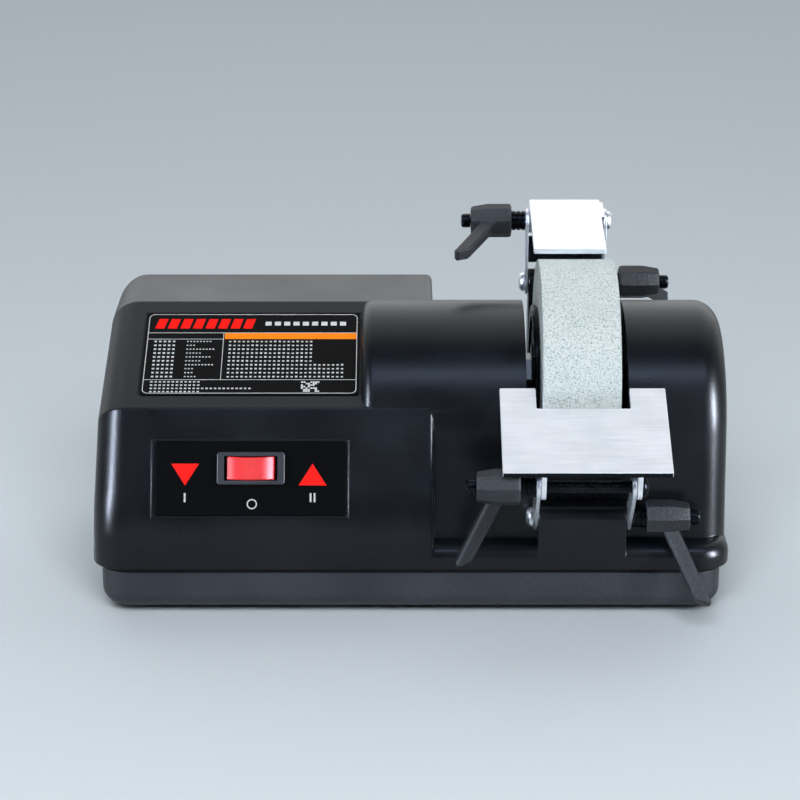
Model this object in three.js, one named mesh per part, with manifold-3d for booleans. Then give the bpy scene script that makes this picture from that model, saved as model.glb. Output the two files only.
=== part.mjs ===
// Wet grinding sharpener: a 120 mm stone turning in a water trough, driven by a geared motor, with a
// notched tool rest in front of the stone and a plain one behind it, both on clamped links.
// Millimetres, +Z up. X runs along the wheel shaft, Y = 0 is the plane of the shaft, the user stands at -Y
// and Z = 0 is the bench. The last lines move the whole object so that its box is centred on the origin.

import * as THREE from 'three';
import { mergeVertices } from 'three/addons/utils/BufferGeometryUtils.js';
import ManifoldModule from 'manifold-3d';

const wasm = await ManifoldModule();
wasm.setup();

// ---------------------------------------------------------------- driving dimensions

const GAP = 0.3;                  // clearance between pieces that touch
const WALL = 3;                   // wall of the moulded shells

const HOUSING_HALF_X = 163;
const HOUSING_HALF_Y = 82;
const HOUSING_CORNER = 16;        // plan corner radius
const SEAM_Z = 26.6;              // lower edge of the upper housing
const LEDGE_Z = 38.5;             // top of the flange that runs round the foot of the housing
const LEDGE_ROUND = 7;

const TRAY_HALF_X = 159;
const TRAY_HALF_Y = 79;
const TRAY_CORNER = 14;
const TRAY_TOP_Z = 26;
const TRAY_BOTTOM_Z = 2.5;
const TRAY_ROUND = 9;
const LIP_TOP_Z = 30;

const BOX_RIGHT_X = 11.9;         // right wall of the motor box
const BOX_END_ROUND = 15;
const CONTROL_EDGE = { y: -55.5, z: 104.4 };   // edge between control slope and label slope
const TOP_EDGE = { y: 22, z: 136.5 };          // edge between label slope and flat top
const FRONT_CORNER = { y: -82, z: 55.7 };      // where front wall and control slope would meet
const FRONT_ROUND = 55;
const BOX_BACK_Y = 71;            // back edge of the flat top

const BARREL_R = 60;
const BARREL_Z = 81.5;            // height of the barrel's centre line
const BARREL_DRAFT = THREE.MathUtils.degToRad(9.5);
const BARREL_LEFT_X = -25.4;
const BARREL_RIGHT_X = 162;

const WHEEL_R = 60;
const WHEEL_Z = 104;              // height of the wheel shaft
const WHEEL_X = [66.7, 106.7];
const WHEEL_BORE_R = 10;
const SHAFT_R = 6;
const SLOT_X = [58.8, 110.7];
const SLOT_HALF_Y = 61;
const SLOT_FLOOR_Z = 61;

const MODULE = 1.25;              // gear module
const PINION_TEETH = 12;
const GEAR_TEETH = 36;
const GEAR_X = [-5, 7];
const MOTOR_Z = WHEEL_Z - MODULE * (PINION_TEETH + GEAR_TEETH) / 2;

const FRONT_LOW = { y: -75.5, z: 52.9 };
const FRONT_HIGH = { y: -99, z: 78.9 };
const REAR_LOW = { y: 70, z: 132.4 };
const REAR_HIGH = { y: 70, z: 167.4 };
const FRONT_BOSS_R = 6.5;
const REAR_BOSS_R = 7.5;
const FRONT_BOSS_X = [64.2, 109.1];
const REAR_BOSS_X = [64.7, 104.9];
const FRONT_PLATE = 2;            // thickness of the front link plates
const REAR_PLATE = 1.6;
const LINK_END_R = 6.5;
const BOLT_R = 3;

const FRONT_REST = { width: 84, depth: 60, centreX: 86.9, slope: 24.5, rise: 14, lead: 4.2 };
const NOTCH = { width: 47.5, depth: 14.7 };
const REAR_REST = { width: 38, depth: 60, centreX: 83.7, slope: 10, rise: 11.4, lead: 2.8 };
const REST_THICK = 3;

const LABEL = { width: 112.7, height: 64.5, centreX: -82.9, upSlope: 43.4, thick: 0.5 };
const PANEL = { width: 98, height: 37.7, centreX: -81.6, downSlope: 36.1, pad: 0.8, thick: 0.6 };
const SWITCH = { centreX: 0.6, up: 3.6, bezel: [34.5, 16.8], body: [28.2, 13.6], opening: [27, 12.6] };

// ---------------------------------------------------------------- solids

// Turns a closed geometry into a solid with its faces pointing out.
function solid(geometry) {
  geometry.deleteAttribute('normal');
  geometry.deleteAttribute('uv');
  const merged = mergeVertices(geometry, 1e-4);
  const position = merged.attributes.position.array;
  const corners = [];
  for (let i = 0; i < merged.index.count; i += 3) {
    const [a, b, c] = [0, 1, 2].map((k) => merged.index.getX(i + k));
    if (a !== b && b !== c && c !== a) corners.push([a, b, c]);
  }
  const point = (i) => new THREE.Vector3().fromArray(position, 3 * i);
  const volume = corners.reduce((sum, [a, b, c]) => sum + point(a).dot(point(b).cross(point(c))), 0);
  const triVerts = Uint32Array.from(corners.flatMap(([a, b, c]) => (volume > 0 ? [a, b, c] : [a, c, b])));
  return new wasm.Manifold(new wasm.Mesh({ numProp: 3, vertProperties: Float32Array.from(position), triVerts }));
}

function joined(...solids) {
  return solids.reduce((sum, next) => sum.add(next));
}

// A box from its ranges along X, Y and Z.
function block([x0, x1], [y0, y1], [z0, z1]) {
  const geometry = new THREE.BoxGeometry(x1 - x0, y1 - y0, z1 - z0);
  return solid(geometry.translate((x0 + x1) / 2, (y0 + y1) / 2, (z0 + z1) / 2));
}

// A round bar along X.
function barX(radius, [x0, x1], y, z, sides = 16) {
  const geometry = new THREE.CylinderGeometry(radius, radius, x1 - x0, sides).rotateZ(-Math.PI / 2);
  return solid(geometry.translate((x0 + x1) / 2, y, z));
}

// A round bar along Y.
function barY(radius, [y0, y1], x, z, sides = 16) {
  const geometry = new THREE.CylinderGeometry(radius, radius, y1 - y0, sides);
  return solid(geometry.translate(x, (y0 + y1) / 2, z));
}

// A round bar along Z.
function barZ(radius, [z0, z1], x, y, sides = 16) {
  const geometry = new THREE.CylinderGeometry(radius, radius, z1 - z0, sides).rotateX(Math.PI / 2);
  return solid(geometry.translate(x, y, (z0 + z1) / 2));
}

// A profile of [radius, x] points turned about an axis along X.
function turnedX(profile, y, z, sides = 24) {
  const points = profile.map(([radius, x]) => new THREE.Vector2(radius, x));
  const geometry = new THREE.LatheGeometry(points, sides).rotateZ(-Math.PI / 2);
  return solid(geometry.translate(0, y, z));
}

const ALONG_X = new THREE.Matrix4().makeBasis(
  new THREE.Vector3(0, 1, 0), new THREE.Vector3(0, 0, 1), new THREE.Vector3(1, 0, 0));
const ALONG_Y = new THREE.Matrix4().makeBasis(
  new THREE.Vector3(1, 0, 0), new THREE.Vector3(0, 0, 1), new THREE.Vector3(0, -1, 0));

// A shape drawn by its distinct points only, so that rounding never meets two points in one place.
function distinct(shape, segments) {
  const points = shape.getPoints(segments);
  return new THREE.Shape(points.filter((point, i) => point.distanceTo(points.at(i - 1)) > 1e-3));
}

// Extrudes a shape from 0 to length, with both ends rounded by the given radius.
function extruded(shape, length, round = 0, segments = 6, roundSegments = 3) {
  return new THREE.ExtrudeGeometry(distinct(shape, segments), {
    depth: length - 2 * round, bevelEnabled: round > 0, bevelThickness: round,
    bevelSize: round, bevelOffset: -round, bevelSegments: roundSegments,
  }).translate(0, 0, round);
}

// Prisms of a shape along X (shape in Y, Z), along Y (shape in X, Z) and along Z (shape in X, Y).
function prismX(shape, [x0, x1], round, segments, roundSegments) {
  const geometry = extruded(shape, x1 - x0, round, segments, roundSegments).applyMatrix4(ALONG_X);
  return solid(geometry.translate(x0, 0, 0));
}

function prismY(shape, [y0, y1], round, segments, roundSegments) {
  const geometry = extruded(shape, y1 - y0, round, segments, roundSegments).applyMatrix4(ALONG_Y);
  return solid(geometry.translate(0, y1, 0));
}

function prismZ(shape, [z0, z1], round, segments, roundSegments) {
  return solid(extruded(shape, z1 - z0, round, segments, roundSegments).translate(0, 0, z0));
}

// ---------------------------------------------------------------- outlines

// A counter-clockwise outline of [a, b, radius] corners, each rounded by its own radius.
function outline(corners) {
  const shape = new THREE.Shape();
  corners.forEach(([a, b, radius = 0], i) => {
    const corner = new THREE.Vector2(a, b);
    const before = corners[(i + corners.length - 1) % corners.length];
    const after = corners[(i + 1) % corners.length];
    const inward = corner.clone().sub(new THREE.Vector2(before[0], before[1])).normalize();
    const outward = new THREE.Vector2(after[0], after[1]).sub(corner).normalize();
    const turn = Math.acos(THREE.MathUtils.clamp(inward.dot(outward), -1, 1));
    const start = corner.clone().addScaledVector(inward, -radius * Math.tan(turn / 2));
    if (i === 0) shape.moveTo(start.x, start.y);
    else shape.lineTo(start.x, start.y);
    if (radius > 0) {
      const centre = start.clone().add(new THREE.Vector2(-inward.y, inward.x).multiplyScalar(radius));
      const angle = Math.atan2(start.y - centre.y, start.x - centre.x);
      shape.absarc(centre.x, centre.y, radius, angle, angle + turn, false);
    }
  });
  shape.closePath();
  return shape;
}

// Moves every side of a convex counter-clockwise outline inwards and shrinks its radii to suit.
function inset(corners, distance) {
  const side = (i) => {
    const [a, b] = corners[i % corners.length];
    const [c, d] = corners[(i + 1) % corners.length];
    const along = new THREE.Vector2(c - a, d - b).normalize();
    return { x: a - along.y * distance, y: b + along.x * distance, along };
  };
  return corners.map(([, , radius = 0], i) => {
    const [p, q] = [side(i + corners.length - 1), side(i)];
    const step = ((q.x - p.x) * q.along.y - (q.y - p.y) * q.along.x)
      / (p.along.x * q.along.y - p.along.y * q.along.x);
    return [p.x + p.along.x * step, p.y + p.along.y * step, Math.max(radius - distance, 0)];
  });
}

function rectangle(halfA, halfB, radius = 0) {
  return [[-halfA, -halfB, radius], [halfA, -halfB, radius], [halfA, halfB, radius], [-halfA, halfB, radius]];
}

// Two points joined by a band with round ends, as an outline in Y, Z.
function strap(from, to, radius) {
  const angle = Math.atan2(to.z - from.z, to.y - from.y);
  const shape = new THREE.Shape();
  shape.absarc(to.y, to.z, radius, angle - Math.PI / 2, angle + Math.PI / 2, false);
  shape.absarc(from.y, from.z, radius, angle + Math.PI / 2, angle + 1.5 * Math.PI, false);
  shape.closePath();
  return shape;
}

// ---------------------------------------------------------------- places

// The frame of a surface that slopes up towards the back: x to the right, y up the slope, z out of it.
function slopeFrame(x, y, z, degrees) {
  return new THREE.Matrix4().makeTranslation(x, y, z)
    .multiply(new THREE.Matrix4().makeRotationX(THREE.MathUtils.degToRad(degrees)));
}

function placed(piece, matrix) {
  return piece.transform(matrix.toArray());
}

const CONTROL_SLOPE = THREE.MathUtils.radToDeg(
  Math.atan2(CONTROL_EDGE.z - FRONT_CORNER.z, CONTROL_EDGE.y - FRONT_CORNER.y));
const LABEL_SLOPE = THREE.MathUtils.radToDeg(
  Math.atan2(TOP_EDGE.z - CONTROL_EDGE.z, TOP_EDGE.y - CONTROL_EDGE.y));

const labelFrame = slopeFrame(LABEL.centreX, CONTROL_EDGE.y, CONTROL_EDGE.z, LABEL_SLOPE)
  .multiply(new THREE.Matrix4().makeTranslation(0, LABEL.upSlope, 0));
const panelFrame = slopeFrame(PANEL.centreX, CONTROL_EDGE.y, CONTROL_EDGE.z, CONTROL_SLOPE)
  .multiply(new THREE.Matrix4().makeTranslation(0, -PANEL.downSlope, PANEL.pad));
const switchFrame = panelFrame.clone()
  .multiply(new THREE.Matrix4().makeTranslation(SWITCH.centreX, SWITCH.up, PANEL.thick));

// ---------------------------------------------------------------- scene graph

const FINISHES = {
  housing: { color: '#141b24', roughness: 0.45, metalness: 0 },
  tray: { color: '#2a2f38', roughness: 0.5, metalness: 0 },
  rubber: { color: '#121212', roughness: 0.9, metalness: 0 },
  steel: { color: '#dfe3e6', roughness: 0.35, metalness: 1 },
  zinc: { color: '#c4ccd2', roughness: 0.4, metalness: 1 },
  lever: { color: '#2a2e33', roughness: 0.6, metalness: 0 },
  blackSteel: { color: '#17191c', roughness: 0.4, metalness: 1 },
  stone: { color: '#cfdcd8', roughness: 0.95, metalness: 0 },
  plate: { color: '#0b0d10', roughness: 0.35, metalness: 0 },
  red: { color: '#e0242c', roughness: 0.3, metalness: 0 },
  motor: { color: '#6d7278', roughness: 0.5, metalness: 1 },
  trough: { color: '#d8d4c4', roughness: 0.5, metalness: 0 },
};

const sharpener = new THREE.Group();

function addPiece(name, piece, finish) {
  const { vertProperties, triVerts, numProp } = piece.getMesh();
  const geometry = new THREE.BufferGeometry();
  geometry.setAttribute('position', new THREE.BufferAttribute(vertProperties, numProp));
  geometry.setIndex(new THREE.BufferAttribute(triVerts, 1));
  const mesh = new THREE.Mesh(geometry, new THREE.MeshStandardMaterial(FINISHES[finish]));
  mesh.name = name;
  sharpener.add(mesh);
}

// ---------------------------------------------------------------- shells

const BELOW = -20;                // forms start well below the seam and are trimmed to it

// The housing's solid form, with every surface moved inwards by the given distance.
function housingForm(distance) {
  const boxCorners = inset([
    [BOX_BACK_Y, TOP_EDGE.z], [TOP_EDGE.y, TOP_EDGE.z], [CONTROL_EDGE.y, CONTROL_EDGE.z],
    [FRONT_CORNER.y, FRONT_CORNER.z, FRONT_ROUND], [FRONT_CORNER.y, BELOW],
    [HOUSING_HALF_Y + (SEAM_Z - BELOW) * 0.1, BELOW],
  ], distance);
  const plan = outline(inset(rectangle(HOUSING_HALF_X, HOUSING_HALF_Y, HOUSING_CORNER), distance));
  const box = joined(
    prismX(outline(boxCorners), [distance - HOUSING_HALF_X, 0], BOX_END_ROUND - distance, 4, 2),
    prismX(outline(boxCorners), [-60, BOX_RIGHT_X - distance], 0, 4),
  ).intersect(prismZ(plan, [BELOW, 200], 0, 4));

  const radius = BARREL_R - distance;
  const tangent = { y: radius * Math.cos(BARREL_DRAFT), z: BARREL_Z + radius * Math.sin(BARREL_DRAFT) };
  const footY = tangent.y + (tangent.z - BELOW) * Math.tan(BARREL_DRAFT);
  const barrel = new THREE.Shape();
  barrel.moveTo(-footY, BELOW);
  barrel.lineTo(footY, BELOW);
  barrel.absarc(0, BARREL_Z, radius, BARREL_DRAFT, Math.PI - BARREL_DRAFT, false);
  barrel.closePath();

  return joined(
    box,
    prismX(barrel, [60, BARREL_RIGHT_X - distance], 13 - distance, 20, 3),
    prismX(barrel, [BARREL_LEFT_X + distance, 80], 6 - distance, 20, 1),
    prismZ(plan, [BELOW, LEDGE_Z - distance], LEDGE_ROUND - distance, 4, 2),
  );
}

// A boss with a round top about a pivot, standing on the flange.
function pivotBoss(pivot, radius, [x0, x1], footFrontY, footBackY) {
  const shape = new THREE.Shape();
  shape.moveTo(footBackY, LEDGE_Z - 6);
  shape.absarc(pivot.y, pivot.z, radius, 0, Math.PI, false);
  shape.lineTo(footFrontY, LEDGE_Z - 6);
  shape.closePath();
  return prismX(shape, [x0, x1], 0, 12);
}

const SCREW_PLACES = [[-146, -68], [146, -68], [-146, 68], [146, 68]];
const FOOT_PLACES = [[-140, -58], [140, -58], [-140, 58], [140, 58]];
const PLACE_NAMES = ['front_left', 'front_right', 'rear_left', 'rear_right'];
const GLAND = { x: -120, z: 48, bodyR: 8, flangeR: 11, boreR: 4.2 };

function upperHousing() {
  const trimmed = block([-200, 200], [-120, 120], [BELOW - 1, SEAM_Z]);
  const form = housingForm(0);
  const hollow = housingForm(WALL);
  const pad = block([-(PANEL.width / 2 + 1), PANEL.width / 2 + 1],
    [-(PANEL.height / 2 + 1), PANEL.height / 2 + 1], [-7, 0]);
  const posts = joined(...SCREW_PLACES.map(([x, y]) => barZ(4.5, [SEAM_Z + GAP, 62], x, y, 10)));
  const ribs = joined(...SCREW_PLACES.map(([x, y]) => block(
    x < 0 ? [-HOUSING_HALF_X, x] : [x, HOUSING_HALF_X], [y - 1.2, y + 1.2], [LIP_TOP_Z + GAP, 60])));
  const chamber = joined(
    block([SLOT_X[0] - 2.5, SLOT_X[0]], [-70, 70], [SLOT_FLOOR_Z, 145]),
    block([SLOT_X[1], SLOT_X[1] + 2.5], [-70, 70], [SLOT_FLOOR_Z, 145]),
  ).subtract(barX(12, [40, 130], 0, WHEEL_Z));

  const shell = joined(
    form, placed(pad, panelFrame),
    pivotBoss(FRONT_LOW, FRONT_BOSS_R, FRONT_BOSS_X, -HOUSING_HALF_Y, -62),
    pivotBoss(REAR_LOW, REAR_BOSS_R, REAR_BOSS_X, 62.5, HOUSING_HALF_Y - 0.5),
  ).subtract(hollow).add(joined(posts, ribs, chamber).intersect(housingForm(WALL / 2)));

  const cuts = [
    trimmed,
    block(SLOT_X, [-SLOT_HALF_Y, SLOT_HALF_Y], [SLOT_FLOOR_Z - 10, 150]),
    barX(BOLT_R + GAP, [50, 125], FRONT_LOW.y, FRONT_LOW.z, 12),
    barX(BOLT_R + GAP, [50, 125], REAR_LOW.y, REAR_LOW.z, 12),
    barY(GLAND.bodyR + GAP, [60, 95], GLAND.x, GLAND.z),
    placed(block([-57, 57], [-LABEL.height / 2 - GAP, LABEL.height / 2 + GAP], [-0.5, 5]), labelFrame),
    placed(block([-PANEL.width / 2 - GAP, PANEL.width / 2 + GAP],
      [-PANEL.height / 2 - GAP, PANEL.height / 2 + GAP], [-GAP, 5]), panelFrame),
    placed(block([-SWITCH.body[0] / 2 - GAP, SWITCH.body[0] / 2 + GAP],
      [-SWITCH.body[1] / 2 - GAP, SWITCH.body[1] / 2 + GAP], [-20, 5]), switchFrame),
    ...SCREW_PLACES.map(([x, y]) => barZ(2 + GAP, [0, 36], x, y, 12)),
  ];
  return cuts.reduce((rest, cut) => rest.subtract(cut), shell);
}

function baseTray() {
  const form = (distance, top) => prismZ(
    outline(inset(rectangle(TRAY_HALF_X, TRAY_HALF_Y, TRAY_CORNER), distance)),
    [TRAY_BOTTOM_Z + distance, top], TRAY_ROUND - distance, 4, 2);
  const above = block([-200, 200], [-120, 120], [TRAY_TOP_Z, 90]);
  const lipBand = block([-200, 200], [-120, 120], [TRAY_TOP_Z - 3, LIP_TOP_Z]);
  const posts = joined(...SCREW_PLACES.map(([x, y]) => barZ(5.5, [3, TRAY_TOP_Z], x, y, 10)));
  const tray = form(0, 80).subtract(above).subtract(form(WALL, 80))
    .add(posts.intersect(form(0.5, 80)))
    .add(form(0.8, 80).intersect(lipBand).subtract(form(WALL, 80)));
  const holes = joined(
    ...SCREW_PLACES.map(([x, y]) => barZ(2 + GAP, [0, 40], x, y, 12)),
    ...SCREW_PLACES.map(([x, y]) => barZ(4.4, [0, 12], x, y, 10)),
    ...FOOT_PLACES.map(([x, y]) => barZ(2.5 + GAP, [0, 8], x, y, 12)),
  );
  return tray.subtract(holes);
}

addPiece('base_tray', baseTray(), 'tray');
addPiece('upper_housing', upperHousing(), 'housing');

PLACE_NAMES.forEach((place, i) => {
  const [footX, footY] = FOOT_PLACES[i];
  addPiece(`foot_${place}`, joined(
    barZ(9, [0, TRAY_BOTTOM_Z - GAP], footX, footY), barZ(2.5, [1, 7], footX, footY, 12)), 'rubber');
  const [screwX, screwY] = SCREW_PLACES[i];
  addPiece(`housing_screw_${place}`, joined(
    barZ(4, [9, 11.7], screwX, screwY, 16), barZ(2, [11, 34], screwX, screwY, 12)), 'zinc');
});

// ---------------------------------------------------------------- plates, switch and gland

const ratingPlate = prismZ(outline(rectangle(LABEL.width / 2, LABEL.height / 2, 3)), [-0.2, LABEL.thick - 0.2]);
addPiece('rating_plate', placed(ratingPlate, labelFrame), 'plate');

const switchHole = block([-SWITCH.body[0] / 2 - GAP + SWITCH.centreX, SWITCH.body[0] / 2 + GAP + SWITCH.centreX],
  [-SWITCH.body[1] / 2 - GAP + SWITCH.up, SWITCH.body[1] / 2 + GAP + SWITCH.up], [-5, 5]);
const switchPlate = prismZ(outline(rectangle(PANEL.width / 2, PANEL.height / 2, 2)), [0, PANEL.thick]);
addPiece('switch_plate', placed(switchPlate.subtract(switchHole), panelFrame), 'plate');

const centred = ([width, height], [z0, z1]) => block([-width / 2, width / 2], [-height / 2, height / 2], [z0, z1]);
const bezel = prismZ(outline(rectangle(SWITCH.bezel[0] / 2, SWITCH.bezel[1] / 2, 2)), [GAP, 1.9]);
const terminals = [-9, 0, 9].map((x) => block([x - 0.4, x + 0.4], [-3, 3], [-24, -15]));
const switchCase = joined(bezel, centred(SWITCH.body, [-16, 1]), ...terminals)
  .subtract(centred(SWITCH.opening, [-12, 5]));
addPiece('switch_frame', placed(switchCase, switchFrame), 'plate');

const ROCKER = { pivotZ: -3, endR: 13.2, width: 11.9, crown: 6.4 };
function rocker() {
  const profile = outline([
    [-9, -6.5], [9, -6.5], [14, -2.5], [14, ROCKER.crown + 1], [11.5, ROCKER.crown],
    [6, 4], [0, 3.2], [-6, 4], [-11.5, ROCKER.crown], [-14, ROCKER.crown + 1], [-14, -2.5],
  ]);
  const ends = barY(ROCKER.endR, [-20, 20], 0, 0, 40);
  const piece = prismY(profile, [-ROCKER.width / 2, ROCKER.width / 2]).intersect(ends);
  return piece;
}
addPiece('rocker', placed(rocker(), switchFrame.clone()
  .multiply(new THREE.Matrix4().makeTranslation(0, 0, ROCKER.pivotZ))), 'red');

const glandBack = HOUSING_HALF_Y - (GLAND.z - SEAM_Z) * 0.1;
addPiece('cord_gland', joined(
  barY(GLAND.bodyR, [glandBack - 8, glandBack + 2], GLAND.x, GLAND.z),
  barY(GLAND.flangeR, [glandBack + 1.5, glandBack + 4.5], GLAND.x, GLAND.z),
).subtract(barY(GLAND.boreR, [60, 100], GLAND.x, GLAND.z)), 'rubber');

// ---------------------------------------------------------------- drive

// A spur gear outline with involute flanks. The tooth nearest to the first axis is turned by `phase`.
function gearShape(teeth, addendum, phase) {
  const pitchR = MODULE * teeth / 2;
  const pressure = THREE.MathUtils.degToRad(20);
  const baseR = pitchR * Math.cos(pressure);
  const rootR = pitchR - 1.25 * MODULE;
  const tipR = pitchR + addendum * MODULE;
  const backlash = 0.3;
  const involute = (angle) => Math.tan(angle) - angle;
  const halfTooth = (radius) => Math.PI / (2 * teeth) - backlash / (2 * pitchR) + involute(pressure)
    - involute(Math.acos(Math.min(1, baseR / radius)));
  const radii = [rootR, Math.max(rootR + 0.1, baseR), pitchR, tipR];
  const shape = new THREE.Shape();
  for (let tooth = 0; tooth < teeth; tooth += 1) {
    const middle = phase + (2 * Math.PI * tooth) / teeth;
    const flank = [...radii.map((r) => [r, -halfTooth(r)]), ...radii.toReversed().map((r) => [r, halfTooth(r)])];
    flank.forEach(([radius, offset], i) => {
      const at = [radius * Math.cos(middle + offset), radius * Math.sin(middle + offset)];
      if (tooth === 0 && i === 0) shape.moveTo(...at);
      else shape.lineTo(...at);
    });
  }
  shape.closePath();
  return shape;
}

const bore = (radius) => barX(radius, [-200, 200], 0, WHEEL_Z);
const ring = (outer, inner, range) => barX(outer, range, 0, WHEEL_Z, 20).subtract(bore(inner));

const drivenGear = prismX(gearShape(GEAR_TEETH, 0.8, Math.PI / GEAR_TEETH), GEAR_X).translate(0, 0, WHEEL_Z)
  .add(barX(12, [GEAR_X[1] - 1, GEAR_X[1] + 5], 0, WHEEL_Z)).subtract(bore(SHAFT_R + GAP));
addPiece('driven_gear', drivenGear, 'trough');

const pinion = prismX(gearShape(PINION_TEETH, 0.9, Math.PI / 2), GEAR_X).translate(0, 0, MOTOR_Z)
  .add(barX(4, [-32, GEAR_X[1] + 2], 0, MOTOR_Z, 20));
addPiece('drive_pinion', pinion, 'steel');

addPiece('wheel_shaft', barX(SHAFT_R, [-8, 131], 0, WHEEL_Z), 'steel');

const FLANGE_R = 36;
const hubR = WHEEL_BORE_R - GAP;
const wheelMiddle = (WHEEL_X[0] + WHEEL_X[1]) / 2;
addPiece('grinding_wheel', turnedX([
  [WHEEL_BORE_R, WHEEL_X[0]], [WHEEL_R - 0.8, WHEEL_X[0]], [WHEEL_R, WHEEL_X[0] + 0.8],
  [WHEEL_R, WHEEL_X[1] - 0.8], [WHEEL_R - 0.8, WHEEL_X[1]], [WHEEL_BORE_R, WHEEL_X[1]], [WHEEL_BORE_R, WHEEL_X[0]],
], 0, WHEEL_Z, 60), 'stone');
addPiece('outer_flange', joined(
  barX(FLANGE_R, [WHEEL_X[0] - 3.1, WHEEL_X[0] - GAP], 0, WHEEL_Z, 36),
  barX(hubR, [WHEEL_X[0] - 1, wheelMiddle - GAP / 2], 0, WHEEL_Z)).subtract(bore(SHAFT_R + GAP)), 'blackSteel');
addPiece('inner_flange', joined(
  barX(FLANGE_R, [WHEEL_X[1] + GAP, WHEEL_X[1] + 3.1], 0, WHEEL_Z, 36),
  barX(hubR, [wheelMiddle + GAP / 2, WHEEL_X[1] + 1], 0, WHEEL_Z)).subtract(bore(SHAFT_R + GAP)), 'blackSteel');
addPiece('wheel_nut', barX(10.7, [WHEEL_X[0] - 7.3, WHEEL_X[0] - 3.4], 0, WHEEL_Z, 6)
  .subtract(bore(SHAFT_R + GAP)), 'steel');

const BEARING = { outerR: 14, width: 8 };
const FLOOR_Z = TRAY_BOTTOM_Z + WALL + GAP;
function bearingStand([x0, x1]) {
  const shape = new THREE.Shape();
  shape.moveTo(34, FLOOR_Z);
  shape.lineTo(34, FLOOR_Z + 4);
  shape.absarc(0, WHEEL_Z, 19, 0, Math.PI, false);
  shape.lineTo(-34, FLOOR_Z + 4);
  shape.lineTo(-34, FLOOR_Z);
  shape.closePath();
  return prismX(shape, [x0, x1], 0, 14).subtract(bore(BEARING.outerR + GAP));
}
[['left', 31], ['right', 118]].forEach(([place, x]) => {
  addPiece(`bearing_stand_${place}`, bearingStand([x, x + 10]), 'motor');
  addPiece(`bearing_${place}`, ring(BEARING.outerR, SHAFT_R + GAP, [x + 1, x + 1 + BEARING.width]), 'steel');
});
addPiece('shaft_seal_left', ring(11.7, SHAFT_R + GAP, [SLOT_X[0] - 4, SLOT_X[0] - 0.2]), 'rubber');
addPiece('shaft_seal_right', ring(11.7, SHAFT_R + GAP, [SLOT_X[1] + 0.2, SLOT_X[1] + 4]), 'rubber');

// ---------------------------------------------------------------- motor

const MOTOR_R = 43;
const MOTOR_X = [-138, -58];
addPiece('motor_can', joined(
  barX(MOTOR_R, MOTOR_X, 0, MOTOR_Z, 32), barX(10, [MOTOR_X[1] - 1, MOTOR_X[1] + 3], 0, MOTOR_Z)), 'motor');
addPiece('motor_end_bell', turnedX([
  [0, -150], [14, -150], [16, -147], [MOTOR_R - 6, -147], [MOTOR_R, -143], [MOTOR_R, MOTOR_X[0] - GAP],
  [0, MOTOR_X[0] - GAP]], 0, MOTOR_Z, 32), 'motor');

const BRACKET_X = [MOTOR_X[1] + GAP, MOTOR_X[1] + 3.3];
addPiece('motor_bracket', joined(
  block(BRACKET_X, [-38, 38], [FLOOR_Z, MOTOR_Z + 26]),
  block([BRACKET_X[0], -28], [-38, 38], [FLOOR_Z, FLOOR_Z + 3]),
).subtract(barX(10 + GAP, [-70, -40], 0, MOTOR_Z)), 'zinc');
addPiece('gearhead_case', turnedX([
  [0, BRACKET_X[1] + GAP], [34, BRACKET_X[1] + GAP], [34, -33], [31, -30], [12, -30], [12, -25],
  [4 + GAP, -25], [4 + GAP, -33], [0, -33]], 0, MOTOR_Z, 24), 'motor');

// ---------------------------------------------------------------- water trough

const TROUGH = { x: [53.5, 116], halfY: 61, z: [8, 60], wall: 2 };
addPiece('water_trough', block(TROUGH.x, [-TROUGH.halfY, TROUGH.halfY], TROUGH.z).subtract(block(
  [TROUGH.x[0] + TROUGH.wall, TROUGH.x[1] - TROUGH.wall],
  [TROUGH.wall - TROUGH.halfY, TROUGH.halfY - TROUGH.wall], [TROUGH.z[0] + TROUGH.wall, 100])), 'trough');

// ---------------------------------------------------------------- tool rests and links

// One pair of link plates with the web that joins them. The web lies on the side that `webSide` points to.
function addLink(name, low, high, [bossLeft, bossRight], plate, webSide) {
  const holes = [low, high].map(({ y, z }) => barX(BOLT_R + GAP, [0, 160], y, z, 12));
  const leftX = [bossLeft - GAP - plate, bossLeft - GAP];
  const rightX = [bossRight + GAP, bossRight + GAP + plate];
  [['left', leftX], ['right', rightX]].forEach(([place, range]) => {
    const link = prismX(strap(low, high, LINK_END_R), range, 0, 6);
    addPiece(`${name}_link_${place}`, holes.reduce((rest, hole) => rest.subtract(hole), link), 'zinc');
  });
  const along = new THREE.Vector2(high.y - low.y, high.z - low.z).normalize();
  const across = new THREE.Vector2(-along.y, along.x).multiplyScalar(webSide);
  const corner = (s, d) => [low.y + along.x * s + across.x * d, low.z + along.y * s + across.y * d];
  const corners = [corner(10, 4), corner(25, 4), corner(25, 4 + plate), corner(10, 4 + plate)];
  const web = new THREE.Shape(corners.map(([y, z]) => new THREE.Vector2(y, z)));
  addPiece(`${name}_link_web`, prismX(web, [bossLeft, bossRight]), 'zinc');
  return { leftX, rightX };
}

// A bolt along X: button head at one end, shank to the other.
function bolt(pivot, headX, shankX) {
  return joined(barX(5.25, headX, pivot.y, pivot.z, 16), barX(BOLT_R, shankX, pivot.y, pivot.z, 12));
}

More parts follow.
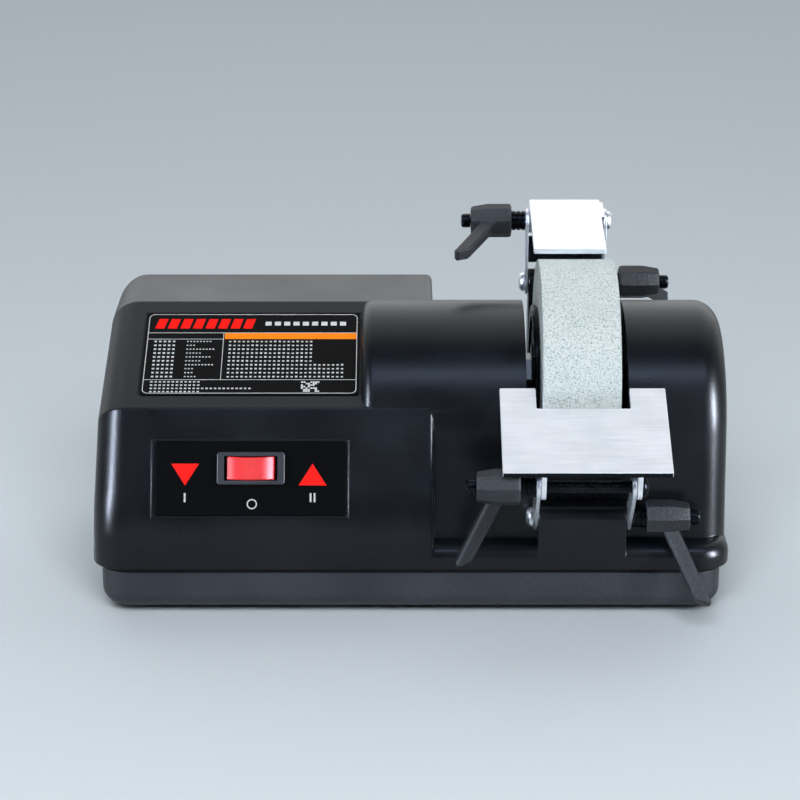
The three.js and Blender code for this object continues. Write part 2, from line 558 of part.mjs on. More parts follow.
// A flat rest with two ears that hang from it down to the pivot.
function addRest(name, rest, pivot, earRanges, frontwards, notch) {
  const [halfWidth, thick] = [rest.width / 2, REST_THICK];
  const front = frontwards ? -rest.lead : rest.lead - rest.depth;
  const shape = new THREE.Shape();
  shape.moveTo(-halfWidth, front);
  shape.lineTo(halfWidth, front);
  shape.lineTo(halfWidth, front + rest.depth);
  if (notch) {
    shape.lineTo(notch.width / 2, front + rest.depth);
    shape.lineTo(notch.width / 2, front + rest.depth - notch.depth);
    shape.lineTo(-notch.width / 2, front + rest.depth - notch.depth);
    shape.lineTo(-notch.width / 2, front + rest.depth);
  }
  shape.lineTo(-halfWidth, front + rest.depth);
  shape.closePath();
  const frame = slopeFrame(0, pivot.y, pivot.z, rest.slope);
  const plate = prismZ(shape, [rest.rise - thick, rest.rise]).translate(rest.centreX, 0, 0);
  const ears = earRanges.map((range) => {
    const ear = new THREE.Shape();
    const [near, far] = frontwards ? [-rest.lead + 0.3, 16] : [-16, rest.lead - 0.3];
    ear.moveTo(far, rest.rise - thick / 2);
    ear.lineTo(near, rest.rise - thick / 2);
    ear.absarc(0, 0, LINK_END_R, Math.PI * (frontwards ? 1 : 1.1), Math.PI * (frontwards ? 1.9 : 2), false);
    ear.closePath();
    return prismX(ear, range, 0, 10);
  });
  const hole = barX(BOLT_R + GAP, [0, 160], 0, 0, 12);
  addPiece(name, placed(joined(plate, ...ears).subtract(hole), frame), 'steel');
}

const frontLink = addLink('front', FRONT_LOW, FRONT_HIGH, FRONT_BOSS_X, FRONT_PLATE, -1);
const rearLink = addLink('rear', REAR_LOW, REAR_HIGH, REAR_BOSS_X, REAR_PLATE, -1);

const FRONT_EARS = [[64.2, 66.7], [frontLink.rightX[1] + GAP, frontLink.rightX[1] + GAP + 2.5]];
const REAR_EARS = [[REAR_BOSS_X[0], REAR_BOSS_X[0] + 2], [REAR_BOSS_X[1] - 2.2, REAR_BOSS_X[1] - 0.2]];
addRest('front_rest', FRONT_REST, FRONT_HIGH, FRONT_EARS, true, NOTCH);
addRest('rear_rest', REAR_REST, REAR_HIGH, REAR_EARS, false, null);

// ---------------------------------------------------------------- clamping levers

const LEVER = { collarR: 5.3, collar: 7.2, hub: [7.5, 29.5], bolt: 26, cap: 5, capR: 3.8, reach: 46, throwOut: 17 };

// The handle about an axis along +X from the clamped face at x = 0, with its arm pointing down.
function leverHandle() {
  const [near, far] = LEVER.hub;
  const hub = turnedX([[0, near], [8.4, near], [9.2, near + 1], [9.2, near + 13], [7.8, far - 0.8], [7, far], [0, far]],
    0, 0, 8).rotate([22.5, 0, 0]);
  const middle = (near + far) / 2;
  const arm = outline([
    [middle - 4.1, -5], [middle - 4.1 + LEVER.throwOut, -LEVER.reach],
    [middle + 4.1 + LEVER.throwOut, -LEVER.reach], [middle + 4.1, -5],
  ]);
  const bores = joined(barX(BOLT_R + GAP, [0, LEVER.bolt + GAP], 0, 0, 12), barX(1.9 + GAP, [0, 60], 0, 0, 10));
  return joined(hub, prismY(arm, [-3.3, 3.3], 1.2, 1, 1)).subtract(bores);
}

function leverCollar() {
  return barX(LEVER.collarR, [0, LEVER.collar], 0, 0, 16).subtract(barX(BOLT_R + GAP, [-5, 20], 0, 0, 12));
}

function leverScrew() {
  const far = LEVER.hub[1] + GAP;
  const slot = block([far + LEVER.cap - 1.6, far + LEVER.cap + 1], [-0.6, 0.6], [-5, 5]);
  return joined(barX(LEVER.capR, [far, far + LEVER.cap], 0, 0, 14),
    barX(1.9, [LEVER.bolt + 0.6, far + 1], 0, 0, 10)).subtract(slot);
}

// Adds one lever. `side` is +1 when it stands on the right of the clamped face and -1 on the left;
// `swing` is how far the arm leans from straight down, in degrees, positive towards the front.
function addLever(name, pivot, faceX, side, swing) {
  const turn = new THREE.Matrix4().makeRotationX(THREE.MathUtils.degToRad(-swing));
  const facing = new THREE.Matrix4().makeRotationZ(side > 0 ? 0 : Math.PI);
  const frame = new THREE.Matrix4().makeTranslation(faceX, pivot.y, pivot.z).multiply(turn).multiply(facing);
  addPiece(`${name}_lever_handle`, placed(leverHandle(), frame), 'lever');
  addPiece(`${name}_lever_collar`, placed(leverCollar(), frame), 'blackSteel');
  addPiece(`${name}_lever_screw`, placed(leverScrew(), frame), 'blackSteel');
  return faceX + side * LEVER.bolt;
}

const frontRightFace = frontLink.rightX[1] + GAP;
const frontLeftFace = frontLink.leftX[0] - GAP;
const rearRightFace = rearLink.rightX[1] + GAP;
const rearLeftFace = rearLink.leftX[0] - GAP;

const frontLowEnd = addLever('front_low', FRONT_LOW, frontRightFace, 1, 35);
const frontHighEnd = addLever('front_high', FRONT_HIGH, frontLeftFace, -1, -10);
const rearLowEnd = addLever('rear_low', REAR_LOW, rearRightFace, 1, -62);
const rearHighEnd = addLever('rear_high', REAR_HIGH, rearLeftFace, -1, 82);

const HEAD = 3;
addPiece('front_low_bolt', bolt(FRONT_LOW, [frontLeftFace - HEAD, frontLeftFace],
  [frontLeftFace - 1, frontLowEnd]), 'zinc');
const frontEarRight = FRONT_EARS[1][1] + GAP;
addPiece('front_high_bolt', bolt(FRONT_HIGH, [frontEarRight, frontEarRight + HEAD],
  [frontHighEnd, frontEarRight + 1]), 'zinc');
addPiece('rear_low_bolt', bolt(REAR_LOW, [rearLeftFace - HEAD, rearLeftFace],
  [rearLeftFace - 1, rearLowEnd]), 'zinc');
addPiece('rear_high_bolt', bolt(REAR_HIGH, [rearRightFace, rearRightFace + HEAD],
  [rearHighEnd, rearRightFace + 1]), 'zinc');

// ---------------------------------------------------------------- origin

const bounds = new THREE.Box3().setFromObject(sharpener);
const middle = bounds.getCenter(new THREE.Vector3());
sharpener.position.set(-middle.x, -middle.y, -bounds.min.z);
sharpener.updateMatrixWorld(true);

export default sharpener;
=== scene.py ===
# %% [markdown]
# # A wet grinding sharpener
# A wide stone turns slowly in a trough of water, and two steel rests hold the tool against it.
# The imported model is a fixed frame: each body moves on its joint, and every piece made here rides on one.
# The pieces could be placed by eye, but reading their places from the frame keeps them true to the joints.

# %% Load the frame
import math
import random

import bmesh
import bpy
from mathutils import Matrix, Vector


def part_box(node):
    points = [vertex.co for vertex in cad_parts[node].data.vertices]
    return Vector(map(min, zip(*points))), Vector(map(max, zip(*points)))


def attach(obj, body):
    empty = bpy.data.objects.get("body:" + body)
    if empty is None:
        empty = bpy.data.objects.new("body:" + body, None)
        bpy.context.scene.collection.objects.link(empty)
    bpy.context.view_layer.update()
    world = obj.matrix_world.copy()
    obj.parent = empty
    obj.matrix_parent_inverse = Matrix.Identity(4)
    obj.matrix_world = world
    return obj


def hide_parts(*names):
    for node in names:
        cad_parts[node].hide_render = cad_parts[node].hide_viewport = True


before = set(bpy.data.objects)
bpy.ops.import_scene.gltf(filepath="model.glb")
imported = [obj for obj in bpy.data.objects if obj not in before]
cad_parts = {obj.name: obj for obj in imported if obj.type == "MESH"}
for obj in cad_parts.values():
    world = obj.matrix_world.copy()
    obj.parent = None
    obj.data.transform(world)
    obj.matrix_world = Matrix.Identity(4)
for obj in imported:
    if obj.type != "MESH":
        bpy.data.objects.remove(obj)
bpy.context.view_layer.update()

# %% [markdown]
# ## Millimetres from the shaft
# The shaft is the one line that every other part is set out from, so lengths here are millimetres, with
# Y counted from the shaft and Z from the bench. Blender works in metres, so a piece is scaled and moved
# once, when it is finished. Working in metres throughout would fill the cells with tiny decimals.

# %% Places read from the frame
SHAFT_Y = sum(corner.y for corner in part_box("wheel_shaft")) * 500


def span(node):
    """The lowest and highest corner of a CAD node, in millimetres from the shaft."""
    return [corner * 1000 - Vector((0, SHAFT_Y, 0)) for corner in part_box(node)]


def middle(node):
    low, high = span(node)
    return (low + high) / 2


SHAFT = middle("wheel_shaft")
FRONT_LOW, FRONT_HIGH = middle("front_low_bolt"), middle("front_high_bolt")
REAR_LOW, REAR_HIGH = middle("rear_low_bolt"), middle("rear_high_bolt")
print("shaft at", [round(v, 1) for v in SHAFT], "front pivots", FRONT_LOW.yz, FRONT_HIGH.yz)

# %% [markdown]
# ## Colours and nodes
# Paint and plastic are matched as sRGB values, but shaders add light, so they need linear numbers.
# One function turns one into the other. A second adds a node with its settings and its links, which is all
# that is needed to write a material as a short list instead of a screen full of wires.

# %% Helpers for materials
def colour(code):
    """An sRGB hex value as linear red, green, blue and alpha."""
    channels = [int(code[i:i + 2], 16) / 255 for i in (1, 3, 5)]
    return (*[c / 12.92 if c <= 0.04045 else ((c + 0.055) / 1.055) ** 2.4 for c in channels], 1)


def finish(name, roughness, metallic=0.0, **sockets):
    """A new material with its shader's fixed numbers set on the shader itself."""
    material = bpy.data.materials.new(name)
    material.use_nodes = True
    shader = material.node_tree.nodes["Principled BSDF"]
    shader.inputs["Roughness"].default_value = roughness
    shader.inputs["Metallic"].default_value = metallic
    for socket, value in sockets.items():
        shader.inputs[socket.replace("_", " ")].default_value = value
    return material, shader


def add(material, kind, inputs=None, **settings):
    """Adds one node: settings are its own fields, inputs are socket values or other nodes' outputs."""
    made = material.node_tree.nodes.new(kind)
    for field, value in settings.items():
        setattr(made, field, value)
    for socket, value in (inputs or {}).items():
        if isinstance(value, bpy.types.NodeSocket):
            material.node_tree.links.new(value, made.inputs[socket])
        else:
            made.inputs[socket].default_value = value
    return made


def plug(material, output, shader, socket):
    material.node_tree.links.new(output, shader.inputs[socket])


# %% [markdown]
# ## Moulded plastics
# The housing, tray and levers are injection moulded. The mould's surface is eroded by sparks, which leaves
# a fine even grain, so the plastic shines softly and the light breaks up on it. Real grain is about 0.1 mm
# wide; it is drawn about 1 mm wide so that it shows. An image texture would do too, but noise has no seams.

# %% The plastics
def moulded(name, light, dark, roughness, grain_mm, depth, round_mm=0.0, edge_highlight_tone=None, **sockets):
    material, shader = finish(name, roughness, **sockets)
    place = add(material, "ShaderNodeTexCoord").outputs["Object"]
    cloud = add(material, "ShaderNodeTexNoise", {"Vector": place, "Scale": 22, "Detail": 3}).outputs["Fac"]
    grain = add(material, "ShaderNodeTexNoise",
                {"Vector": place, "Scale": 1000 / grain_mm, "Detail": 2, "Roughness": 0.7}).outputs["Fac"]
    tone = add(material, "ShaderNodeMath", {0: cloud, 1: grain}, operation="MULTIPLY").outputs[0]
    spread = add(material, "ShaderNodeMapRange",
                 {"Value": tone, "From Min": 0.12, "From Max": 0.4}).outputs["Result"]
    mix = add(material, "ShaderNodeMix", {0: spread, 6: colour(dark), 7: colour(light)}, data_type="RGBA")
    tint = mix.outputs[2]
    if edge_highlight_tone:  # edges painted pale, a painted highlight where edges catch light, found where a rounded normal leaves the true one
        soft = add(material, "ShaderNodeBevel", {"Radius": 0.0006}, samples=4).outputs["Normal"]
        flat = add(material, "ShaderNodeNewGeometry").outputs["True Normal"]
        close = add(material, "ShaderNodeVectorMath", {0: soft, 1: flat}, operation="DOT_PRODUCT")
        dim_ink_and_edge_highlight = add(material, "ShaderNodeMapRange", {
            "Value": close.outputs["Value"], "From Min": 0.99, "From Max": 0.9, "To Max": 0.8})
        mix = add(material, "ShaderNodeMix", {
            0: dim_ink_and_edge_highlight.outputs["Result"], 6: tint, 7: colour(edge_highlight_tone)}, data_type="RGBA")
        tint = mix.outputs[2]
    plug(material, tint, shader, "Base Color")
    rough = add(material, "ShaderNodeMapRange", {
        "Value": cloud, "From Min": 0.3, "From Max": 0.7,
        "To Min": roughness - 0.04, "To Max": roughness + 0.06})
    plug(material, rough.outputs["Result"], shader, "Roughness")
    bump = {"Height": grain, "Strength": depth, "Distance": 0.0002}
    if round_mm:
        edge = add(material, "ShaderNodeBevel", {"Radius": round_mm / 1000}, samples=6)
        bump["Normal"] = edge.outputs["Normal"]
    plug(material, add(material, "ShaderNodeBump", bump).outputs["Normal"], shader, "Normal")
    return material


housing_abs = moulded("spark_eroded_abs_housing", "#0a0f16", "#04060a", 0.3, 1.0, 0.4, round_mm=0.7,
                       Specular_IOR_Level=0.3)
# the tray's colour, lighter than the housing's, is a painted reflection of the pale floor
tray_abs = moulded("spark_eroded_abs_tray", "#363b42", "#2a2e34", 0.45, 1.0, 0.8, Specular_IOR_Level=0.3)
# the pale edge tone on the handles is a painted highlight along their edges
lever_nylon = moulded("glass_filled_nylon", "#2b2f34", "#0f1113", 0.5, 0.9, 1.6, edge_highlight_tone="#585d63",
                       Specular_IOR_Level=0.3)
switch_nylon = moulded("switch_nylon", "#1b1f26", "#12151a", 0.4, 0.8, 0.3)
trough_pp = moulded("natural_polypropylene", "#d9d6c8", "#cbc7b6", 0.45, 0.9, 0.2)
gland_pvc = moulded("soft_black_pvc", "#191a1c", "#101112", 0.6, 0.9, 0.4)
foot_rubber = moulded("moulded_rubber", "#191919", "#0e0e0e", 0.8, 0.9, 0.6)
rocker_red = moulded("polycarbonate_red", "#ee1c20", "#dd161b", 0.28, 1.2, 0.12, Specular_IOR_Level=0.3)
# the seal's near black tone is partly its own and partly painted shade for the seam's gap
seam_rubber_and_shade = moulded("dark_red_rubber", "#1d1014", "#120a0d", 0.7, 0.9, 0.3, Specular_IOR_Level=0.1)
print("plastics:", len(bpy.data.materials))

# %% [markdown]
# ## Metals
# The rests are stainless steel brushed from side to side: long thin scratches catch the light in a band.
# The links and bolts are zinc plated, which is bright with a faint milky cloud. The collars and caps are
# black oxide, a thin dark skin that stays glossy. The motor's castings are grey and grainy. One function
# stretches the same noise by different amounts, because a scratch is only a grain pulled out long.

# %% The metals
def metal(name, light, dark, roughness, grain_mm, depth, spread=0.08):
    material, shader = finish(name, roughness, metallic=1.0)
    place = add(material, "ShaderNodeTexCoord").outputs["Object"]
    scale = tuple(1000 / size for size in grain_mm)
    turned = add(material, "ShaderNodeMapping", {"Vector": place, "Scale": scale}).outputs["Vector"]
    grain = add(material, "ShaderNodeTexNoise", {"Vector": turned, "Scale": 1, "Detail": 3}).outputs["Fac"]
    cloud = add(material, "ShaderNodeTexNoise", {"Vector": place, "Scale": 60, "Detail": 3}).outputs["Fac"]
    tone = add(material, "ShaderNodeMath", {0: grain, 1: cloud}, operation="ADD").outputs[0]
    even = add(material, "ShaderNodeMapRange", {"Value": tone, "From Min": 0.7, "From Max": 1.3}).outputs[0]
    mix = add(material, "ShaderNodeMix", {0: even, 6: colour(dark), 7: colour(light)}, data_type="RGBA")
    plug(material, mix.outputs[2], shader, "Base Color")
    rough = add(material, "ShaderNodeMapRange", {"Value": grain, "From Min": 0.3, "From Max": 0.7,
                                                 "To Min": roughness - spread, "To Max": roughness + spread})
    plug(material, rough.outputs["Result"], shader, "Roughness")
    bump = add(material, "ShaderNodeBump", {"Height": grain, "Strength": depth, "Distance": 0.0001})
    plug(material, bump.outputs["Normal"], shader, "Normal")
    return material


rest_steel = metal("brushed_stainless_steel", "#f4f5f6", "#e3e6e8", 0.42, (22, 0.7, 0.7), 0.35)
zinc_plate = metal("bright_zinc_plate", "#e9ecee", "#dde1e4", 0.34, (1.6, 1.6, 1.6), 0.02, 0.04)
black_oxide = metal("black_oxide_steel", "#25282c", "#15171a", 0.3, (1.0, 1.0, 1.0), 0.15)
bright_steel = metal("turned_steel", "#d4d8db", "#b9bec3", 0.28, (0.8, 6, 6), 0.1)
cast_grey = metal("cast_aluminium", "#8d9196", "#74797f", 0.55, (0.9, 0.9, 0.9), 0.5)
print("metals:", rest_steel.name, zinc_plate.name, black_oxide.name, bright_steel.name, cast_grey.name)

# %% [markdown]
# ## The stone
# A vitrified stone is grit fused with glass, here a pale grey green with darker grains. Its grit is about
# 0.07 mm, far too fine to see, so the grains are drawn 0.8 mm apart. Two noises make it: one for the dark
# specks and a slow one for the shade that wet and use leave. Its surface is matt and slightly open.

# %% The stone's finish
def vitrified(name):
    material, shader = finish(name, 0.9)
    place = add(material, "ShaderNodeTexCoord").outputs["Object"]
    speck = add(material, "ShaderNodeTexNoise", {"Vector": place, "Scale": 1300, "Detail": 2}).outputs["Fac"]
    shade = add(material, "ShaderNodeTexNoise", {"Vector": place, "Scale": 40, "Detail": 4}).outputs["Fac"]
    dark = add(material, "ShaderNodeMapRange", {
        "Value": speck, "From Min": 0.34, "From Max": 0.52}).outputs["Result"]
    body = add(material, "ShaderNodeMix", {
        0: shade, 6: colour("#b8c3c1"), 7: colour("#d2d9d7")}, data_type="RGBA").outputs[2]
    mix = add(material, "ShaderNodeMix", {0: dark, 6: colour("#8d9c9b"), 7: body}, data_type="RGBA")
    plug(material, mix.outputs[2], shader, "Base Color")
    bump = add(material, "ShaderNodeBump", {"Height": speck, "Strength": 0.5, "Distance": 0.0002})
    plug(material, bump.outputs["Normal"], shader, "Normal")
    return material


stone_grit = vitrified("vitrified_stone")

# %% [markdown]
# ## Printed films
# Both plates are black polyester film with printed inks: flat, nearly matt and a little uneven, like orange
# peel. The inks are separate thin pieces here, so that they stay sharp at any distance.

# %% Film and inks
def printed(name, tone):
    material, shader = finish(name, 0.4, Specular_IOR_Level=0.06)
    place = add(material, "ShaderNodeTexCoord").outputs["Object"]
    peel = add(material, "ShaderNodeTexNoise", {"Vector": place, "Scale": 500, "Detail": 2}).outputs["Fac"]
    code = colour(tone)
    dim_ink_and_edge_highlight = tuple(c * 0.8 for c in code[:3]) + (1,)
    mix = add(material, "ShaderNodeMix", {0: peel, 6: dim_ink_and_edge_highlight, 7: code}, data_type="RGBA")
    plug(material, mix.outputs[2], shader, "Base Color")
    bump = add(material, "ShaderNodeBump", {"Height": peel, "Strength": 0.08, "Distance": 0.0001})
    plug(material, bump.outputs["Normal"], shader, "Normal")
    return material


black_film = printed("black_polyester_film", "#040405")
white_ink = printed("white_ink", "#d3d6d8")
red_ink = printed("red_ink", "#ff1205")
orange_ink = printed("orange_ink", "#ff8a10")
print("materials:", len(bpy.data.materials))

# %% [markdown]
# ## Shaping helpers
# Almost every piece is either an outline pushed along one axis or a line turned about one. Both start from
# a few vertices and let the operators do the rest: bevel rounds a corner, spin turns an arc, extrude gives
# length. Drawing each by hand in lists of points would hide what the piece is.

# %% Outlines
def outline(corners, segments=8, inset=0.0):
    """A flat face through (a, b) corners in order; a third number rounds that corner."""
    bm = bmesh.new()
    verts = [bm.verts.new((a, b, 0)) for a, b, *_ in corners]
    bm.faces.new(verts)
    turns = []
    for i, vert in enumerate(verts):
        before, after = verts[i - 1].co, verts[(i + 1) % len(verts)].co
        turns.append((vert.co - before).angle(after - vert.co))
    for vert, turn, (_, _, *radius) in zip(verts, turns, corners):
        if radius and radius[0] > 0:
            bmesh.ops.bevel(bm, geom=[vert], offset=radius[0] * math.tan(turn / 2), segments=segments,
                            profile=0.5, affect="VERTICES", material=-1)
    if inset:
        shrink(bm, inset)
    return bm


def shrink(bm, inset):
    """Moves every side of the one face inwards."""
    bm.normal_update()
    rim = bmesh.ops.inset_region(bm, faces=list(bm.faces), thickness=inset, use_even_offset=True,
                                 use_boundary=True)
    bmesh.ops.delete(bm, geom=rim["faces"], context="FACES")


def arc(bm, centre, radius, start, turn, steps):
    """Spins one vertex about a point of the outline's plane; degrees, anticlockwise."""
    first = bm.verts.new((centre[0] + radius * math.cos(math.radians(start)),
                          centre[1] + radius * math.sin(math.radians(start)), 0))
    count = len(bm.verts)
    bmesh.ops.spin(bm, geom=[first], cent=(*centre, 0), axis=(0, 0, 1), angle=math.radians(turn),
                   steps=steps)
    bm.verts.ensure_lookup_table()
    return [first, *bm.verts[count:]]


AXES = {
    "X": Matrix(((0, 0, 1, 0), (1, 0, 0, 0), (0, 1, 0, 0), (0, 0, 0, 1))),
    "Y": Matrix(((1, 0, 0, 0), (0, 0, 1, 0), (0, 1, 0, 0), (0, 0, 0, 1))),
    "Z": Matrix.Identity(4),
}


def pushed(bm, axis, low, high):
    """Extrudes the outline's face along an axis, from low to high, into a closed solid."""
    made = bmesh.ops.extrude_face_region(bm, geom=list(bm.faces))
    far = [part for part in made["geom"] if isinstance(part, bmesh.types.BMVert)]
    bmesh.ops.translate(bm, vec=(0, 0, high - low), verts=far)
    bmesh.ops.translate(bm, vec=(0, 0, low), verts=bm.verts)
    bmesh.ops.transform(bm, matrix=AXES[axis], verts=bm.verts)
    bmesh.ops.recalc_face_normals(bm, faces=bm.faces)
    return bm


# %% Rounding, turning and placing
def rounded(bm, radius, segments, keep=lambda edge: True, angle=25):
    """Bevels the edges that are sharper than an angle and that keep() picks."""
    edges = [edge for edge in bm.edges if edge.calc_face_angle(0) > math.radians(angle) and keep(edge)]
    bmesh.ops.bevel(bm, geom=edges, offset=radius, segments=segments, profile=0.5, affect="EDGES",
                    material=-1, clamp_overlap=True)
    return bm


def level(axis, value):
    """Picks edges that lie wholly at one height along an axis."""
    return lambda edge: all(abs(vert.co["XYZ".index(axis)] - value) < 0.01 for vert in edge.verts)


def turned(points, axis="Z", steps=48, closed=False):
    """Turns a (radius, height) line about an axis into a closed solid."""
    bm = bmesh.new()
    verts = [bm.verts.new((radius, 0, height)) for radius, height in points]
    pairs = list(zip(verts, verts[1:])) + ([(verts[-1], verts[0])] if closed else [])
    edges = [bm.edges.new(pair) for pair in pairs]
    bmesh.ops.spin(bm, geom=verts + edges, cent=(0, 0, 0), axis=(0, 0, 1), angle=math.tau, steps=steps,
                   use_merge=True)
    bmesh.ops.remove_doubles(bm, verts=bm.verts, dist=1e-4)
    bmesh.ops.transform(bm, matrix=AXES[axis], verts=bm.verts)
    bmesh.ops.recalc_face_normals(bm, faces=bm.faces)
    return bm


def placed(bm, matrix):
    bmesh.ops.transform(bm, matrix=matrix, verts=bm.verts)
    return bm


def moved(bm, x, y, z):
    return placed(bm, Matrix.Translation((x, y, z)))


def block(x, y, z):
    """A box between two numbers on each axis."""
    return pushed(outline([(x[0], y[0]), (x[1], y[0]), (x[1], y[1]), (x[0], y[1])]), "Z", *z)


def rod(radius, axis, low, high, a, b, steps=32):
    """A round bar along an axis, through (a, b) on the other two."""
    bar = turned([(0, low), (radius, low), (radius, high), (0, high)], axis, steps)
    return moved(bar, *{"X": (0, a, b), "Y": (a, 0, b), "Z": (a, b, 0)}[axis])


# %% [markdown]
# ## Joining and cutting
# A moulding is one body, so its forms are joined and its holes cut with the exact solver. Leaving the
# forms to overlap would look the same from outside but show inner walls wherever there is an opening.

# %% Boolean helpers
def solved(base, tool, how):
    """Joins, cuts or intersects two closed solids; both are used up."""
    objects = []
    for bm in (base, tool):
        mesh = bpy.data.meshes.new("form")
        bm.to_mesh(mesh)
        bm.free()
        objects.append(bpy.data.objects.new("form", mesh))
        bpy.context.scene.collection.objects.link(objects[-1])
    modifier = objects[0].modifiers.new("form", "BOOLEAN")
    modifier.operation, modifier.solver, modifier.object = how, "EXACT", objects[1]
    result = bmesh.new()
    result.from_object(objects[0], bpy.context.evaluated_depsgraph_get())
    for obj in objects:
        bpy.data.meshes.remove(obj.data)
    return result


def joined(base, *others):
    for other in others:
        base = solved(base, other, "UNION")
    return base


def cut(base, *tools):
    for tool in tools:
        base = solved(base, tool, "DIFFERENCE")
    return base


# %% [markdown]
# ## Finishing a piece
# A finished piece is scaled to metres, shaded smooth with its true edges kept sharp, given its finish, and
# set to ride on its body. Weighted normals keep broad faces flat beside the fine faces of a rounding.

# %% Finish and ride
def piece(name, bm, body, material, replaces=(), smooth=32):
    bmesh.ops.remove_doubles(bm, verts=bm.verts, dist=1e-4)
    placed(bm, Matrix.Scale(0.001, 4) @ Matrix.Translation((0, SHAFT_Y, 0)))
    mesh = bpy.data.meshes.new(name)
    bm.to_mesh(mesh)
    bm.free()
    mesh.materials.append(material)
    mesh.shade_smooth()
    mesh.set_sharp_from_angle(angle=math.radians(smooth))
    obj = bpy.data.objects.new(name, mesh)
    bpy.context.scene.collection.objects.link(obj)
    weighted = obj.modifiers.new("weighted", "WEIGHTED_NORMAL")
    weighted.keep_sharp = True
    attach(obj, body)
    if replaces:
        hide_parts(*replaces)
    print(f"{name}: {len(mesh.polygons)} faces on {body}")
    return obj


# %% [markdown]
# ## The upper housing
# This is one ABS moulding: a box with two slopes for the motor and switch, a long barrel for the stone,
# and a flange round its foot. The two long forms are outlines pushed along X, each with its own large
# radius, and the flange is a plan pushed up. It could be sculpted as one subdivision surface, but the crisp
# lines where the forms meet come free from joining.

# %% The box for the motor
BOX_LEFT, BOX_RIGHT = span("upper_housing")[0].x, 11.9
SEAM_Z, LEDGE_Z, BELOW = span("upper_housing")[0].z, 38.5, -20
HALF_DEPTH, CORNER, WALL = 82, 16, 3.0
LEAN = 0.035  # how far the box's left side leans in, for each millimetre of height
M6_HOLE, SHAFT_HOLE = 3.3, 6.3  # radii


def plan(half_x, half_y, radius, inset=0.0):
    return outline([(-half_x, -half_y, radius), (half_x, -half_y, radius), (half_x, half_y, radius),
                    (-half_x, half_y, radius)], 10, inset)


def motor_box(inset):
    side = outline([(71, 136.5), (22, 136.5), (-55.5, 104.4), (-HALF_DEPTH, 55.7, 55), (-HALF_DEPTH, BELOW),
                    (86.66, BELOW)], 14, inset)
    low, high = BOX_LEFT + inset, BOX_RIGHT - inset
    box = pushed(side, "X", low, high)
    rounded(box, 15 - inset, 10, level("X", low))
    if not inset:
        rounded(box, 3, 4, level("X", high))
        rounded(box, 2.5, 4, lambda edge: min(v.co.z for v in edge.verts) > 90, 14)
    lean = Matrix.Identity(4)
    lean[0][2], lean[0][3] = LEAN, -LEAN * SEAM_Z
    bmesh.ops.transform(box, matrix=lean, verts=[v for v in box.verts if v.co.x < -60 and v.co.z > SEAM_Z])
    return solved(box, pushed(plan(-BOX_LEFT, HALF_DEPTH, CORNER, inset), "Z", BELOW - 5, 200), "INTERSECT")


# %% [markdown]
# The barrel's section is most of a circle whose sides run down at a steep draft, so that it lets go of its
# mould. One vertex is spun for the arc and two more make the feet. Both ends are rounded.

# %% The barrel and the flange
BARREL = {"radius": 60.0, "z": 81.5, "draft": 9.5, "x": (-25.4, 162.0)}


def barrel(inset):
    bm = bmesh.new()
    radius, height, draft = BARREL["radius"], BARREL["z"], BARREL["draft"]
    ring = arc(bm, (0, height), radius, draft, 180 - 2 * draft, 80)
    edge = ring[0].co
    foot = edge.x + (edge.y - BELOW) * math.tan(math.radians(draft))
    bm.faces.new([bm.verts.new((-foot, BELOW, 0)), bm.verts.new((foot, BELOW, 0)), *ring])
    if inset:
        shrink(bm, inset)
    low, high = BARREL["x"][0] + inset, BARREL["x"][1] - inset
    pushed(bm, "X", low, high)
    rounded(bm, 13 - inset, 10, level("X", high))
    return rounded(bm, 6 - inset, 6, level("X", low))


def flange(inset):
    ledge = pushed(plan(-BOX_LEFT, HALF_DEPTH, CORNER, inset), "Z", BELOW, LEDGE_Z - inset)
    return rounded(ledge, 7 - inset, 8, level("Z", LEDGE_Z - inset))


def housing_form(inset):
    return joined(motor_box(inset), barrel(inset), flange(inset))


# %% [markdown]
# Two bosses carry the low pivots of the links, one in front and one behind. Each is a tongue with a round
# top. A flat raised pad on the lower slope carries the switch plate.

# %% Bosses and pad
def boss(pivot, radius, ends, front_y, back_y):
    bm = bmesh.new()
    top = arc(bm, (pivot.y, pivot.z), radius, 0, 180, 20)
    bm.faces.new([*top, bm.verts.new((front_y, 32, 0)), bm.verts.new((back_y, 32, 0))])
    return rounded(pushed(bm, "X", *ends), 0.8, 3, lambda edge: level("X", ends[0])(edge)
                   or level("X", ends[1])(edge), 45)


def on_slope(place, degrees):
    return Matrix.Translation(place) @ Matrix.Rotation(math.radians(degrees), 4, "X")


LABEL_SLOPE, CONTROL_SLOPE = 22.499, 61.447
label_frame = on_slope(middle("rating_plate"), LABEL_SLOPE) @ Matrix.Translation((0, -1.5, 0))
panel_frame = on_slope(middle("switch_plate"), CONTROL_SLOPE)
SWITCH_X, SWITCH_Y, SWITCH_HALF_X, SWITCH_HALF_Y = 0.6, 5.0, 14.4, 7.1  # its place and its hole
switch_frame = panel_frame @ Matrix.Translation((SWITCH_X, SWITCH_Y, 0.3))
FRONT_BOSS = (span("front_link_left")[1].x + 0.3, span("front_link_right")[0].x - 0.3)
REAR_BOSS = (span("rear_link_left")[1].x + 0.3, span("rear_link_right")[0].x - 0.3)
print("front boss", FRONT_BOSS, "rear boss", REAR_BOSS)


def pad_form():
    pad = block((-50, 50), (-19.85, 19.85), (-8, -0.3))
    return placed(rounded(pad, 0.6, 3, level("Z", -0.3)), panel_frame)


# %% [markdown]
# The shell is the outer form less the same form 3 mm smaller. Two walls close it off beside the stone, and
# then come the slot, the seats of the plates, the switch hole, and the holes for bolts, gland and shaft.

